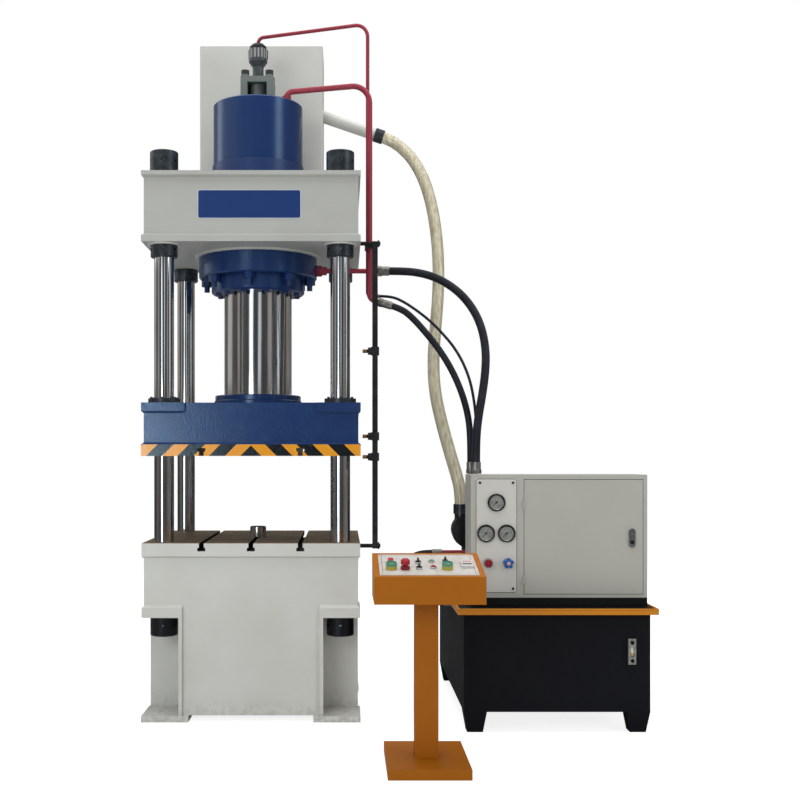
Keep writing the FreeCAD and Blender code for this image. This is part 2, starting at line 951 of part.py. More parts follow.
def make_base_frame():
    """The welded lower beam: slotted table, box body, four nut pockets, four feet."""
    table = block("table_plate", around("0", "table_width"), around("0", "table_depth"),
                  ("table_underside", "table_height"))
    body = block("base_box", around("0", "frame_width"), around("0", "frame_depth"),
                 ("foot_thickness", "table_underside + 1"))
    pockets = corner_block(
        "nut_pockets",
        ("frame_width / 2 - pocket_width", "frame_width / 2 + 50"),
        ("frame_depth / 2 - pocket_depth", "frame_depth / 2 + 50"),
        ("foot_thickness - 1", "shelf_underside + 1"))
    pocketed = cut("pocketed_box", body, pockets)
    shelf = block(
        "shelf_plate",
        ("frame_width / 2 - pocket_width - shelf_front_reach", "frame_width / 2 + shelf_reach"),
        ("frame_depth / 2 - pocket_depth - shelf_front_reach", "frame_depth / 2 + shelf_front_reach"),
        ("shelf_underside", "shelf_top + shelf_bevel"))
    shelf_bevelled = chamfered("shelf_weld", shelf, "shelf_bevel", is_shelf_top_outer)
    cheek = block(
        "pocket_cheek",
        ("frame_width / 2 - pocket_width - shelf_front_reach", "frame_width / 2 - pocket_width"),
        ("frame_depth / 2 - pocket_depth", "frame_depth / 2 + shelf_front_reach"),
        ("foot_thickness - 1", "shelf_underside + 1"))
    foot = block(
        "foot_plate",
        ("frame_width / 2 + foot_reach - foot_width", "frame_width / 2 + foot_reach"),
        ("frame_depth / 2 + foot_front_reach - foot_depth", "frame_depth / 2 + foot_front_reach"),
        ("0", "foot_thickness"))
    shelves = at_four_corners("shelves", shelf_bevelled)
    cheeks = at_four_corners("pocket_cheeks", cheek)
    feet = at_four_corners("feet", foot)
    welded = joined("base_weldment", table, pocketed, shelves, cheeks, feet)
    slots = [t_slot(f"table_slot_{i}", f"{i} * slot_pitch", "table_height", False)
             for i in (-1, 0, 1)]
    anchor = rod("anchor_drill", "anchor_hole", "foot_thickness + 2",
                 ("anchor_pitch_x / 2", "anchor_pitch_y / 2", "-1"))
    well = block("ejector_well", around("0", "ejector_well"), around("0", "ejector_well"),
                 ("foot_thickness - 1", "table_underside"))
    pin_hole = rod("pin_hole", "ejector_pin + 2 * fit_gap", "table_thickness + 2",
                   ("0", "0", "table_underside - 1"))
    machined = cut("base_machined", welded, *slots, at_four_corners("anchor_drills", anchor), well,
                   pin_hole,
                   column_holes("base_column_holes", "shelf_underside - 1", "table_height + 1"))
    return divided("base_frame", machined, *base_stretches())


def base_stretches():
    """Where the beam's plates meet: the table, the feet, and the box round its square well, whose
    side walls end over the nut pockets."""
    all_x, all_y = around("0", "2 * table_width"), around("0", "2 * table_depth")
    wall = "(frame_width / 2 - pocket_width)"
    rim = "ejector_well / 2"
    box_z = ("foot_thickness", "table_underside")
    stretches = [(all_x, all_y, ("table_underside", "table_height")),
                 (all_x, all_y, ("0", "foot_thickness")),
                 (around("0", f"2 * {wall}"), ("-table_depth", f"-{rim}"), box_z),
                 (around("0", f"2 * {wall}"), (rim, "table_depth"), box_z)]
    for core, side in (((f"-{wall}", f"-{rim}"), ("-table_width", f"-{wall}")),
                       ((rim, wall), (wall, "table_width"))):
        stretches += [(core, around("0", "ejector_well"), box_z),
                      (side, all_y, ("foot_thickness", "shelf_underside")),
                      (side, all_y, ("shelf_underside", "table_underside"))]
    return stretches


def is_shelf_top_outer(edge):
    """The top edges of a shelf plate that face away from the box body."""
    box = edge.BoundBox
    at_top = box.ZMin > value("shelf_top + shelf_bevel") - 0.1
    outer_x = box.XMin > value("frame_width / 2 + shelf_reach") - 0.1
    outer_y = box.YMin > value("frame_depth / 2 + shelf_front_reach") - 0.1
    return at_top and (outer_x or outer_y)


keep("base_frame", make_base_frame())

# Columns are polished bars with bevelled ends, threaded inside their nuts.
keep("columns", at_four_corners("columns", turned(
    "column_one",
    (("0", "column_foot"),
     ("column_diameter / 2 - column_bevel", "column_foot"),
     ("column_diameter / 2", "column_foot + column_bevel"),
     ("column_diameter / 2", "lock_nut_top + column_end - column_bevel"),
     ("column_diameter / 2 - column_bevel", "lock_nut_top + column_end"),
     ("0", "lock_nut_top + column_end")),
    ("column_x", "column_y", "0"))))


def round_nuts(name, diameter, height, low):
    """Bevelled round nuts with tommy-bar holes round them, one on each column."""
    inside = "column_diameter / 2 + fit_gap"
    outside = f"{diameter} / 2"
    nut = turned(
        name + "_one",
        ((inside, "0"), (f"{outside} - nut_bevel", "0"), (outside, "nut_bevel"),
         (outside, f"{height} - nut_bevel"), (f"{outside} - nut_bevel", height), (inside, height)),
        ("column_x", "column_y", low))
    drill_round_the_axis(nut, name + "_tommy_hole", f"{height} * 0.55", "nut_hole", "nut_holes")
    return at_four_corners(name, nut)


ring_nut = turned(
    "cylinder_ring_nut",
    ring_outline("barrel_diameter + 2 * fit_gap", "ring_nut", "crown_top",
                 "crown_top + ring_nut_height"))
keep("round_nuts", together(
    "round_nuts",
    round_nuts("base_nuts", "base_nut", "base_nut_height", "shelf_underside - base_nut_height"),
    round_nuts("crown_seat_nuts", "seat_nut", "seat_nut_height", "crown_bottom - seat_nut_height"),
    round_nuts("crown_lock_nuts", "lock_nut", "lock_nut_height", "crown_top"),
    ring_nut))


def lip_ramp(name, low, high, narrow_low):
    """Weld fillet round the frame body: a square frustum between two heights."""
    wide = ("plate_width / 2", "table_depth / 2")
    slim = ("frame_width / 2", "frame_depth / 2")
    sections = (slim, wide) if narrow_low else (wide, slim)
    loops = []
    for height, (half_x, half_y) in zip((low, high), sections):
        x, y, z = value(half_x), value(half_y), value(height)
        corners = [Vector(-x, -y, z), Vector(x, -y, z), Vector(x, y, z), Vector(-x, y, z)]
        loops.append(Part.makePolygon(corners + corners[:1]))
    ramp = doc.addObject("Part::Feature", name)
    ramp.Shape = Part.makeLoft(loops, True, True)
    return ramp


def make_crown():
    """The welded upper beam: two plates and a box, bored for the cylinder and the columns."""
    bottom = block("crown_bottom_slab", around("0", "plate_width"), around("0", "table_depth"),
                   ("crown_bottom", "crown_bottom + crown_bottom_plate"))
    box = block("crown_box", around("0", "frame_width"), around("0", "frame_depth"),
                ("crown_bottom + crown_bottom_plate - 1", "crown_top - crown_top_plate + 1"))
    top = block("crown_top_slab", around("0", "plate_width"), around("0", "table_depth"),
                ("crown_top - crown_top_plate", "crown_top"))
    low_weld = lip_ramp("crown_low_weld", "crown_bottom + crown_bottom_plate",
                        "crown_bottom + crown_bottom_plate + weld_bevel", False)
    high_weld = lip_ramp("crown_high_weld", "crown_top - crown_top_plate - weld_bevel",
                         "crown_top - crown_top_plate", True)
    bore = rod("crown_bore", "barrel_diameter + 2 * fit_gap", "crown_height + 2",
               ("0", "0", "crown_bottom - 1"))
    welded = joined("crown_weldment", bottom, box, top, low_weld, high_weld)
    return cut("crown_frame", welded, bore,
               column_holes("crown_column_holes", "crown_bottom - 1", "crown_top + 1"))


keep("crown_frame", make_crown())


# ================================================================ main cylinder

keep("main_cylinder", turned(
    "main_cylinder",
    (("barrel_bore / 2", "flange_underside"),
     ("flange_diameter / 2 - barrel_bevel", "flange_underside"),
     ("flange_diameter / 2", "flange_underside + barrel_bevel"),
     ("flange_diameter / 2", "crown_bottom"),
     ("barrel_diameter / 2", "crown_bottom"),
     ("barrel_diameter / 2", "barrel_head - barrel_bevel"),
     ("barrel_diameter / 2 - barrel_bevel", "barrel_head"),
     ("0", "barrel_head"),
     ("0", "barrel_head - barrel_end"),
     ("barrel_bore / 2", "barrel_head - barrel_end"))))

# The gland holds the seals; its bore guides the ram.
keep("cylinder_gland", turned(
    "cylinder_gland",
    (("ram_diameter / 2 + fit_gap", "gland_underside"),
     ("gland_diameter / 2 - gland_bevel", "gland_underside"),
     ("gland_diameter / 2", "gland_underside + gland_bevel"),
     ("gland_diameter / 2", "flange_underside"),
     ("ram_diameter / 2 + fit_gap", "flange_underside"))))


def bolt_ring(name, count, circle, first_angle, one):
    """Copies of one(name, x, y) round the press's axis."""
    pieces = []
    for i in range(round(value(count))):
        angle = f"({first_angle} + {i} * 360 / {count}) * 1 deg"
        x, y = f"{circle} / 2 * cos({angle})", f"{circle} / 2 * sin({angle})"
        pieces.append(one(f"{name}_{i}", x, y))
    return together(name, *pieces)


def flange_stud(name, x, y):
    """A nut run up against the flange on a stud whose end hangs below it."""
    nut = hexagon(name + "_nut", "flange_nut", "flange_nut_height", (x, y, "flange_underside"), "-z")
    stud = rod(name + "_stud", "flange_stud", "flange_stud_length", (x, y, "flange_underside"), "-z")
    return joined(name, nut, stud)


def gland_screw(name, x, y):
    return hexagon(name, "gland_screw_head", "gland_screw_height", (x, y, "gland_underside"), "-z")


keep("cylinder_fasteners", together(
    "cylinder_fasteners",
    bolt_ring("flange_studs", "flange_bolts", "flange_bolt_circle", "flange_bolt_turn",
              flange_stud),
    bolt_ring("gland_screw_ring", "gland_screws", "gland_screw_circle", "15", gland_screw)))

# The ram is the piston rod; its piston head stays inside the barrel.
keep("ram", turned(
    "ram",
    (("0", "slider_top"),
     ("ram_diameter / 2", "slider_top"),
     ("ram_diameter / 2", "ram_head - piston_height"),
     ("barrel_bore / 2 - fit_gap", "ram_head - piston_height"),
     ("barrel_bore / 2 - fit_gap", "ram_head"),
     ("0", "ram_head"))))

keep("ram_flange", turned(
    "ram_flange",
    (("ram_diameter / 2 + fit_gap", "slider_top"),
     ("ram_flange / 2", "slider_top"),
     ("ram_flange / 2", "slider_top + ram_flange_lip"),
     ("ram_flange / 2 - nut_bevel", "slider_top + ram_flange_lip + nut_bevel"),
     ("ram_flange / 2 - nut_bevel", "slider_top + ram_flange_height - nut_bevel"),
     ("ram_flange / 2 - 2 * nut_bevel", "slider_top + ram_flange_height"),
     ("ram_diameter / 2 + fit_gap", "slider_top + ram_flange_height"))))


# ================================================================ slider

def make_slider():
    """The moving beam: slotted pressing plate, box body and four corner pads."""
    plate = block("pressing_plate", around("0", "plate_width"), around("0", "table_depth"),
                  ("slider_bottom", "slider_plate_top"))
    weld = lip_ramp("slider_weld", "slider_plate_top", "slider_plate_top + weld_bevel", False)
    box = block("slider_box", around("0", "frame_width"), around("0", "frame_depth"),
                ("slider_plate_top - 1", "slider_top"))
    pad = block("slider_pad",
                ("plate_width / 2 - slider_pad", "plate_width / 2"),
                ("table_depth / 2 - slider_pad", "table_depth / 2"),
                ("slider_top - slider_pad_height", "slider_top"))
    pad_bevelled = chamfered("slider_pad_bevelled", pad, "slider_pad_bevel", is_pad_lower_edge)
    slots = [t_slot(f"slider_slot_{i}", f"{i} * slot_pitch", "slider_bottom", True)
             for i in (-1, 1)]
    welded = joined("slider_weldment", plate, weld, box,
                    at_four_corners("slider_pads", pad_bevelled))
    return cut("slider_frame", welded, *slots,
               column_holes("slider_column_holes", "slider_bottom - 1", "slider_top + 1"))


def is_pad_lower_edge(edge):
    """The lower outer and inner edges of a corner pad."""
    box = edge.BoundBox
    return box.ZMax < value("slider_top - slider_pad_height") + 0.1


keep("slider_frame", make_slider())


def wiper_ring(name):
    """A flat cover ring round one column that holds the guide bush, with its screws."""
    ring = turned(name + "_ring",
                  ring_outline("column_diameter + 2 * fit_gap", "wiper_diameter", "0",
                               "wiper_height - wiper_screw_height"),
                  ("column_x", "column_y", "slider_top"))
    screws = []
    for i in range(round(value("wiper_screws"))):
        angle = f"({i} + 0.5) * 360 / wiper_screws * 1 deg"
        where = (f"column_x + wiper_screw_circle / 2 * cos({angle})",
                 f"column_y + wiper_screw_circle / 2 * sin({angle})",
                 "slider_top + wiper_height - wiper_screw_height - 1")
        screws.append(rod(f"{name}_screw_{i}", "wiper_screw_head", "wiper_screw_height + 1", where))
    return joined(name, ring, *screws)


keep("guide_covers", at_four_corners("guide_covers", wiper_ring("guide_cover_one")))


# ================================================================ ejector

keep("ejector_pin", turned(
    "ejector_pin",
    (("0", "ejector_piston_top - ejector_piston_height"),
     ("ejector_piston / 2 - fit_gap", "ejector_piston_top - ejector_piston_height"),
     ("ejector_piston / 2 - fit_gap", "ejector_piston_top"),
     ("ejector_pin / 2", "ejector_piston_top"),
     ("ejector_pin / 2", "pin_top - nut_bevel"),
     ("ejector_pin / 2 - nut_bevel", "pin_top"),
     ("0", "pin_top"))))

keep("ejector_cylinder", turned(
    "ejector_cylinder",
    (("ejector_pin / 2 + fit_gap", "table_underside"),
     ("ejector_pin / 2 + fit_gap", "table_underside - ejector_flange_height"),
     ("ejector_piston / 2", "table_underside - ejector_flange_height"),
     ("ejector_piston / 2", "table_underside - ejector_case_length + ejector_flange_height"),
     ("0", "table_underside - ejector_case_length + ejector_flange_height"),
     ("0", "table_underside - ejector_case_length"),
     ("ejector_case / 2", "table_underside - ejector_case_length"),
     ("ejector_case / 2", "table_underside - ejector_flange_height"),
     ("ejector_flange / 2", "table_underside - ejector_flange_height"),
     ("ejector_flange / 2", "table_underside"))))


# ================================================================ prefill valve and filling tank

def four_about_the_axis(name, x, y, one):
    """Four copies of one(name, x, y), mirrored about the press's axis."""
    return together(name, *[one(f"{name}_{i}", f"{sign_x} * {x}", f"{sign_y} * {y}")
                            for i, (sign_x, sign_y) in enumerate(((-1, -1), (1, -1), (-1, 1), (1, 1)))])


def yoke_screw(name, x, y):
    return rod(name, "yoke_screw", "yoke_screw_height", (x, y, "yoke_top"))


yoke_block = block("yoke_block", around("0", "yoke_width"), around("0", "yoke_depth"),
                   ("barrel_head", "yoke_top"))
yoke_window = block("yoke_window", around("0", "yoke_window"), around("0", "yoke_depth + 2"),
                    ("barrel_head - 1", "barrel_head + yoke_window_height"))
keep("prefill_yoke", together(
    "prefill_yoke",
    cut("yoke_with_window", yoke_block, yoke_window),
    four_about_the_axis("yoke_screws", "yoke_screw_x", "yoke_screw_y", yoke_screw)))

# The check valve stands in the window; its pilot cylinder is screwed into the yoke from above.
valve_body = turned(
    "valve_body",
    (("0", "0"),
     ("valve_foot / 2", "0"),
     ("valve_foot / 2", "valve_foot_height"),
     ("valve_body / 2", "valve_foot_height"),
     ("valve_body / 2", "yoke_window_height"),
     ("0", "yoke_window_height")),
    ("0", "0", "barrel_head"))
pilot_neck = turned(
    "pilot_neck",
    (("0", "0"),
     ("union_neck / 2", "0"),
     ("union_neck / 2", "union_neck_height"),
     ("union_head / 2", "union_neck_height + union_cone_height"),
     ("union_head / 2", "union_hexagon_start"),
     ("0", "union_hexagon_start")),
    ("0", "0", "yoke_top"))
pilot_hexagon = hexagon("pilot_hexagon", "union_hexagon", "union_hexagon_height",
                        ("0", "0", "yoke_top + union_hexagon_start"))
pilot_cap = turned(
    "pilot_cap",
    (("0", "0"),
     ("union_cap / 2", "0"),
     ("union_cap / 2", "union_cap_height - union_cap_bevel"),
     ("union_cap / 2 - union_cap_bevel", "union_cap_height"),
     ("0", "union_cap_height")),
    ("0", "0", "union_top - union_cap_height"))
keep("prefill_valve", together(
    "prefill_valve", valve_body, joined("pilot_cylinder", pilot_neck, pilot_hexagon, pilot_cap)))

filling_box = block("filling_box", around("0", "filling_tank_width"),
                    ("filling_tank_front", "filling_tank_front + filling_tank_depth"),
                    ("crown_top", "filling_tank_top"))
filling_shell = rounded("filling_shell", filling_box, "filling_tank_corner", is_upright)
downhill = Rotation(Vector(0, 1, 0), 90 + value("overflow_slope"))
overflow_start = ("filling_tank_width / 2 - overflow_inset", "overflow_y",
                  "overflow_height + overflow_inset * tan(overflow_slope * 1 deg)")
overflow_tube = rod("overflow_tube", "overflow_pipe",
                    "(overflow_run + overflow_inset) / cos(overflow_slope * 1 deg)",
                    overflow_start, downhill)
keep("filling_tank", joined("filling_tank", filling_shell, overflow_tube))

fill_length = "filling_tank_front - yoke_depth / 2"
keep("fill_pipe", joined(
    "fill_pipe",
    rod("fill_tube", "fill_pipe", fill_length, ("0", "yoke_depth / 2", "fill_height"), "y"),
    rod("fill_yoke_flange", "fill_flange", "fill_flange_thickness",
        ("0", "yoke_depth / 2", "fill_height"), "y"),
    rod("fill_tank_flange", "fill_flange", "fill_flange_thickness",
        ("0", "filling_tank_front", "fill_height"), "-y")))


# ================================================================ pipes on the press

def hose_end(name, hose, length, at, along):
    """A swivel nut and a crimped sleeve, from the pipe's end to the hose's end."""
    nut = hexagon(name + "_nut", f"{hose} * hose_nut_ratio", f"({length}) * hose_nut_share", at, along)
    sleeve = rod(name + "_sleeve", f"{hose} + 2 * sleeve_wall", length, at, along)
    return joined(name, nut, sleeve)


main_slope = "main_tail_slope * 1 deg"
main_tail = Rotation(Vector(0, 1, 0), 90 + value("main_tail_slope"))
main_tail_end = (f"main_drop_x + main_tail * cos({main_slope})", "main_drop_y",
                 f"main_elbow_z - main_tail * sin({main_slope})")
main_pipe = bent_pipe(
    "main_pipe",
    (("main_port_x", "main_port_y", "barrel_head"),
     ("main_port_x", "main_port_y", "barrel_head + main_rise"),
     ("main_drop_x", "main_drop_y", "barrel_head + main_rise"),
     ("main_drop_x", "main_drop_y", "main_elbow_z"),
     main_tail_end),
    "main_pipe", "main_port_bend", "main_bend", "main_elbow_bend")
pilot_pipe = bent_pipe(
    "pilot_pipe",
    (("0", "0", "union_top"),
     ("0", "0", "union_top + pilot_rise"),
     ("pilot_drop_x", "pilot_drop_y", "union_top + pilot_rise"),
     ("pilot_drop_x", "pilot_drop_y", "pilot_elbow_z"),
     ("pilot_drop_x + pilot_tail", "pilot_drop_y", "pilot_elbow_z")),
    "pilot_pipe", "pilot_port_bend", "pilot_bend", "pilot_elbow_bend")
port_nut = hexagon("port_nut", "port_nut", "port_nut_length",
                   ("flange_diameter / 2 + port_fitting_length", "0", "port_height"), "x")
port_tube = rod("port_tube", "port_pipe", "port_pipe_end - flange_diameter / 2 - port_fitting_length",
                ("flange_diameter / 2 + port_fitting_length", "0", "port_height"), "x")
main_nut = hexagon("main_nut", "main_nut", "main_nut_height",
                   ("main_port_x", "main_port_y", "barrel_head"))
port_body = hexagon("port_body", "port_fitting", "port_fitting_length + port_fitting_root",
                    ("flange_diameter / 2 - port_fitting_root", "0", "port_height"), "x")
keep("press_pipes", together(
    "press_pipes",
    joined("main_pipe_with_nut", main_pipe, main_nut),
    pilot_pipe,
    joined("port_pipe_with_nut", port_nut, port_tube),
    cut("port_fitting", port_body, nodes["main_cylinder"])))

# One split block holds both falling pipes and is screwed to the back of the switch rail.
clamp_plain = block("clamp_plain",
                    ("pilot_drop_x - pipe_clamp_rim", "main_drop_x + pipe_clamp_rim"),
                    ("rail_y + rail_width / 2", "pilot_drop_y + pipe_clamp_rim"),
                    around("clamp_height", "pipe_clamp_height"))
main_hole = rod("clamp_main_hole", "main_pipe + fit_gap", "pipe_clamp_height + 2",
                ("main_drop_x", "main_drop_y", "clamp_height - pipe_clamp_height / 2 - 1"))
pilot_hole = rod("clamp_pilot_hole", "pilot_pipe + fit_gap", "pipe_clamp_height + 2",
                 ("pilot_drop_x", "pilot_drop_y", "clamp_height - pipe_clamp_height / 2 - 1"))
band_half = "hose_band_length / 2"
overflow_tip = ("filling_tank_width / 2 + overflow_run", "overflow_y",
                "overflow_height - overflow_run * tan(overflow_slope * 1 deg)")
band_start = (f"{overflow_tip[0]} - {band_half} * cos(overflow_slope * 1 deg)", "overflow_y",
              f"{overflow_tip[2]} + {band_half} * sin(overflow_slope * 1 deg)")
overflow_band = turned("overflow_band",
                       ring_outline("overflow_pipe + fit_gap", "hose_band", "0", "hose_band_length"),
                       band_start, downhill)
filter_band = turned("filter_band",
                     ring_outline("overflow_pipe + fit_gap", "hose_band", "0", "hose_band_length"),
                     ("filter_spigot_x", "filter_y", f"filter_spigot_top - {band_half}"))
keep("hose_clamps", together(
    "hose_clamps",
    cut("pipe_clamp", clamp_plain, main_hole, pilot_hole), overflow_band, filter_band))


# ================================================================ limit switches

rail_bar = block("rail_bar", around("rail_x", "rail_width"), around("rail_y", "rail_width"),
                 ("rail_bottom", "rail_top"))


def rail_rod(name, start, height):
    """A threaded rod from the frame's side through the rail, with a nut outside."""
    length = f"rail_x + rail_width / 2 + rail_rod_end - ({start})"
    bar = rod(name + "_bar", "rail_rod", length, (start, "rail_y", height), "x")
    outer_nut = hexagon(name + "_outer_nut", "rail_nut", "rail_nut_height",
                        ("rail_x + rail_width / 2", "rail_y", height), "x")
    return joined(name, bar, outer_nut)


keep("switch_rail", joined(
    "switch_rail", rail_bar,
    rail_rod("upper_rail_rod", "plate_width / 2", "upper_rod_height"),
    rail_rod("lower_rail_rod", "table_width / 2", "lower_rod_height")))


def limit_switch(name, height):
    """A round proximity switch with two lock nuts, in a clip on the rail."""
    tip = "plate_width / 2 + switch_gap"
    body = rod(name + "_body", "switch_diameter", f"rail_x - ({tip})", (tip, "rail_y", height), "x")
    nuts = rod(name + "_nuts", "switch_nut", "switch_nut_length",
               ("rail_x - rail_width / 2 - switch_clip_wall", "rail_y", height), "-x")
    clip = block(name + "_clip",
                 around("rail_x", "rail_width + 2 * switch_clip_wall"),
                 around("rail_y", "rail_width + 2 * switch_clip_wall"),
                 around(height, "switch_clip_height"))
    return cut(name, joined(name + "_whole", body, nuts, clip), rail_bar)


keep("limit_switches", together(
    "limit_switches",
    limit_switch("upper_switch", "upper_switch_height"),
    limit_switch("middle_switch", "middle_switch_height"),
    limit_switch("lower_switch", "lower_switch_height")))


# ================================================================ oil tank of the power unit

def tapered_foot(name, x, y):
    """A foot pressed from sheet, wide under the tank and narrow on the floor."""
    centre_x, centre_y = value(x), value(y)
    loops = []
    for height, width in (("0", "unit_foot_bottom"), ("unit_foot_height", "unit_foot_top")):
        z, half = value(height), value(width) / 2
        corners = [Vector(centre_x + i * half, centre_y + j * half, z)
                   for i, j in ((-1, -1), (1, -1), (1, 1), (-1, 1))]
        loops.append(Part.makePolygon(corners + corners[:1]))
    foot = doc.addObject("Part::Feature", name)
    foot.Shape = Part.makeLoft(loops, True, True)
    return foot


unit_feet = [tapered_foot(f"unit_foot_{i}{j}",
                          f"unit_x + {i} * (unit_width - unit_foot_top) / 2",
                          f"unit_y + {j} * (unit_depth - unit_foot_top) / 2")
             for i in (-1, 1) for j in (-1, 1)]
keep("oil_tank", joined(
    "oil_tank",
    block("oil_box", around("unit_x", "unit_width"), around("unit_y", "unit_depth"),
          ("unit_foot_height", "unit_top")),
    *unit_feet))

lid_slab = block("lid_slab", around("unit_x", "unit_width + 2 * lid_side_reach"),
                 around("unit_y", "unit_depth + 2 * lid_end_reach"),
                 ("unit_top", "lid_top + lid_lip"))
lid_tray = block("lid_tray", around("unit_x", "unit_width + 2 * lid_side_reach - 2 * lid_lip_wall"),
                 around("unit_y", "unit_depth + 2 * lid_end_reach - 2 * lid_lip_wall"),
                 ("lid_top", "lid_top + lid_lip + 1"))
keep("tank_lid", cut("tank_lid", lid_slab, lid_tray))

gauge_front = "unit_front - level_gauge_depth"
level_frame = block("level_frame", around("level_gauge_x", "level_gauge_width"),
                    (gauge_front, "unit_front"),
                    ("level_gauge_bottom", "level_gauge_bottom + level_gauge_height"))
level_slot = block("level_slot", around("level_gauge_x", "level_slot_width"),
                   (f"{gauge_front} - 1", f"{gauge_front} + level_gauge_depth / 2"),
                   ("level_gauge_bottom + level_gauge_width",
                    "level_gauge_bottom + level_gauge_height - level_gauge_width"))
level_bolts = [hexagon(f"level_bolt_{i}", "level_bolt", "level_bolt_height",
                       ("level_gauge_x", gauge_front, height), "-y")
               for i, height in enumerate((
                   "level_gauge_bottom + level_gauge_width / 2",
                   "level_gauge_bottom + level_gauge_height - level_gauge_width / 2"))]
keep("level_gauge", joined("level_gauge", cut("level_body", level_frame, level_slot), *level_bolts))


# ================================================================ valve cabinet

cabinet_x = ("cabinet_left", "cabinet_left + cabinet_width")
cabinet_y = ("cabinet_front", "cabinet_front + cabinet_depth")
cabinet_inside_x = ("cabinet_left + sheet", "cabinet_left + cabinet_width - sheet")
shell_outside = block("shell_outside", cabinet_x, cabinet_y, ("cabinet_bottom", "cabinet_top"))
shell_inside = block("shell_inside", cabinet_inside_x,
                     ("cabinet_front - 1", "cabinet_front + cabinet_depth + 1"),
                     ("cabinet_bottom - 1", "cabinet_top - sheet"))
front_rail = block("cabinet_front_rail", cabinet_x,
                   ("cabinet_front", "cabinet_front + cabinet_rail_width"),
                   ("lid_top", "cabinet_bottom"))
back_rail = block("cabinet_back_rail", cabinet_x,
                  ("cabinet_front + cabinet_depth - cabinet_rail_width",
                   "cabinet_front + cabinet_depth"),
                  ("lid_top", "cabinet_bottom"))
keep("cabinet_shell", joined("cabinet_shell", cut("folded_shell", shell_outside, shell_inside),
                             front_rail, back_rail))

GAUGES = {"top": ("gauge_top_x", "gauge_top_z"),
          "left": ("gauge_left_x", "gauge_low_z"),
          "right": ("gauge_right_x", "gauge_low_z")}
KNOBS = {"relief": ("relief_x", "knob_z"), "valve": ("handwheel_x", "knob_z")}


def panel_point(place, front):
    """A point on the gauge panel, measured from its lower left corner."""
    x, z = place
    return (f"panel_left + {x}", front, f"panel_bottom + {z}")


def panel_holes(name):
    """Holes through the front for the gauges and the two valve stems."""
    behind = "cabinet_front + sheet + 1"
    length = "2 * sheet + 2"
    holes = [rod(f"{name}_{key}", "gauge_case + 2 * fit_gap", length,
                 panel_point(place, behind), "-y") for key, place in GAUGES.items()]
    return holes + [rod(f"{name}_{key}", "valve_stem + 2 * fit_gap", length,
                        panel_point(place, behind), "-y") for key, place in KNOBS.items()]


def hinge_half(name, height, side):
    """One knuckle of a hinge with its leaf: side is -1 on the frame and 1 on the door."""
    barrel = rod(name + "_barrel", "hinge_barrel", "hinge_length", ("hinge_x", "hinge_y", height))
    reach = ("hinge_x - hinge_leaf", "hinge_x") if side < 0 else ("hinge_x", "hinge_x + hinge_leaf")
    leaf = block(name + "_leaf", reach, ("cabinet_front - hinge_leaf_thickness", "cabinet_front"),
                 (height, f"{height} + hinge_length"))
    bore = rod(name + "_bore", "hinge_pin + 2 * fit_gap", "hinge_length + 2",
               ("hinge_x", "hinge_y", f"{height} - 1"))
    return cut(name, joined(name + "_solid", barrel, leaf), bore)


def hinge_pin(name, height):
    """The pin, headed below the lower knuckle."""
    return joined(name,
                  rod(name + "_shaft", "hinge_pin", "2 * hinge_length + fit_gap",
                      ("hinge_x", "hinge_y", height)),
                  rod(name + "_head", "hinge_barrel", "hinge_head", ("hinge_x", "hinge_y", height), "-z"))


HINGES = {"upper": "door_bottom + hinge_upper", "lower": "door_bottom + hinge_lower"}
front_plate = block("front_plate", cabinet_inside_x, ("cabinet_front", "cabinet_front + sheet"),
                    ("cabinet_bottom", "cabinet_top - sheet"))
door_opening = block("door_opening",
                     ("door_left - door_gap", "door_left + door_width + door_gap"),
                     ("cabinet_front - 1", "cabinet_front + sheet + 1"),
                     ("door_bottom - door_gap", "door_bottom + door_height + door_gap"))
keep("cabinet_front", together(
    "cabinet_front",
    joined("front_with_hinges",
           cut("front_frame", front_plate, door_opening, *panel_holes("front_hole")),
           *[hinge_half(f"{key}_frame_hinge", height, -1) for key, height in HINGES.items()]),
    *[hinge_pin(f"{key}_hinge_pin", height) for key, height in HINGES.items()]))

door_x = ("door_left", "door_left + door_width")
door_z = ("door_bottom", "door_bottom + door_height")
door_outside = block("door_outside", door_x, ("cabinet_front", "cabinet_front + door_depth"), door_z)
door_inside = block("door_inside", ("door_left + sheet", "door_left + door_width - sheet"),
                    ("cabinet_front + sheet", "cabinet_front + door_depth + 1"),
                    ("door_bottom + sheet", "door_bottom + door_height - sheet"))
keep("cabinet_door", joined(
    "cabinet_door", cut("door_pan", door_outside, door_inside),
    *[hinge_half(f"{key}_door_hinge", f"{height} + hinge_length + fit_gap", 1)
      for key, height in HINGES.items()]))

lock_x, lock_z = "door_left + lock_x", "door_bottom + lock_z"
lock_straight = "(lock_height - lock_width) / 2"
lock_plate = joined(
    "lock_plate",
    block("lock_middle", around(lock_x, "lock_width"), ("cabinet_front - lock_depth", "cabinet_front"),
          (f"{lock_z} - {lock_straight}", f"{lock_z} + {lock_straight}")),
    rod("lock_upper_end", "lock_width", "lock_depth",
        (lock_x, "cabinet_front", f"{lock_z} + {lock_straight}"), "-y"),
    rod("lock_lower_end", "lock_width", "lock_depth",
        (lock_x, "cabinet_front", f"{lock_z} - {lock_straight}"), "-y"))
lock_bore = rod("lock_bore", "lock_button + 2 * fit_gap", "lock_depth + 2",
                (lock_x, "cabinet_front + 1", f"{lock_z} - lock_button_drop"), "-y")
keep("door_lock", cut("door_lock", lock_plate, lock_bore))
keep("lock_button", rod("lock_button", "lock_button", "lock_depth",
                        (lock_x, "cabinet_front - lock_travel - 1", f"{lock_z} - lock_button_drop"),
                        "-y"))

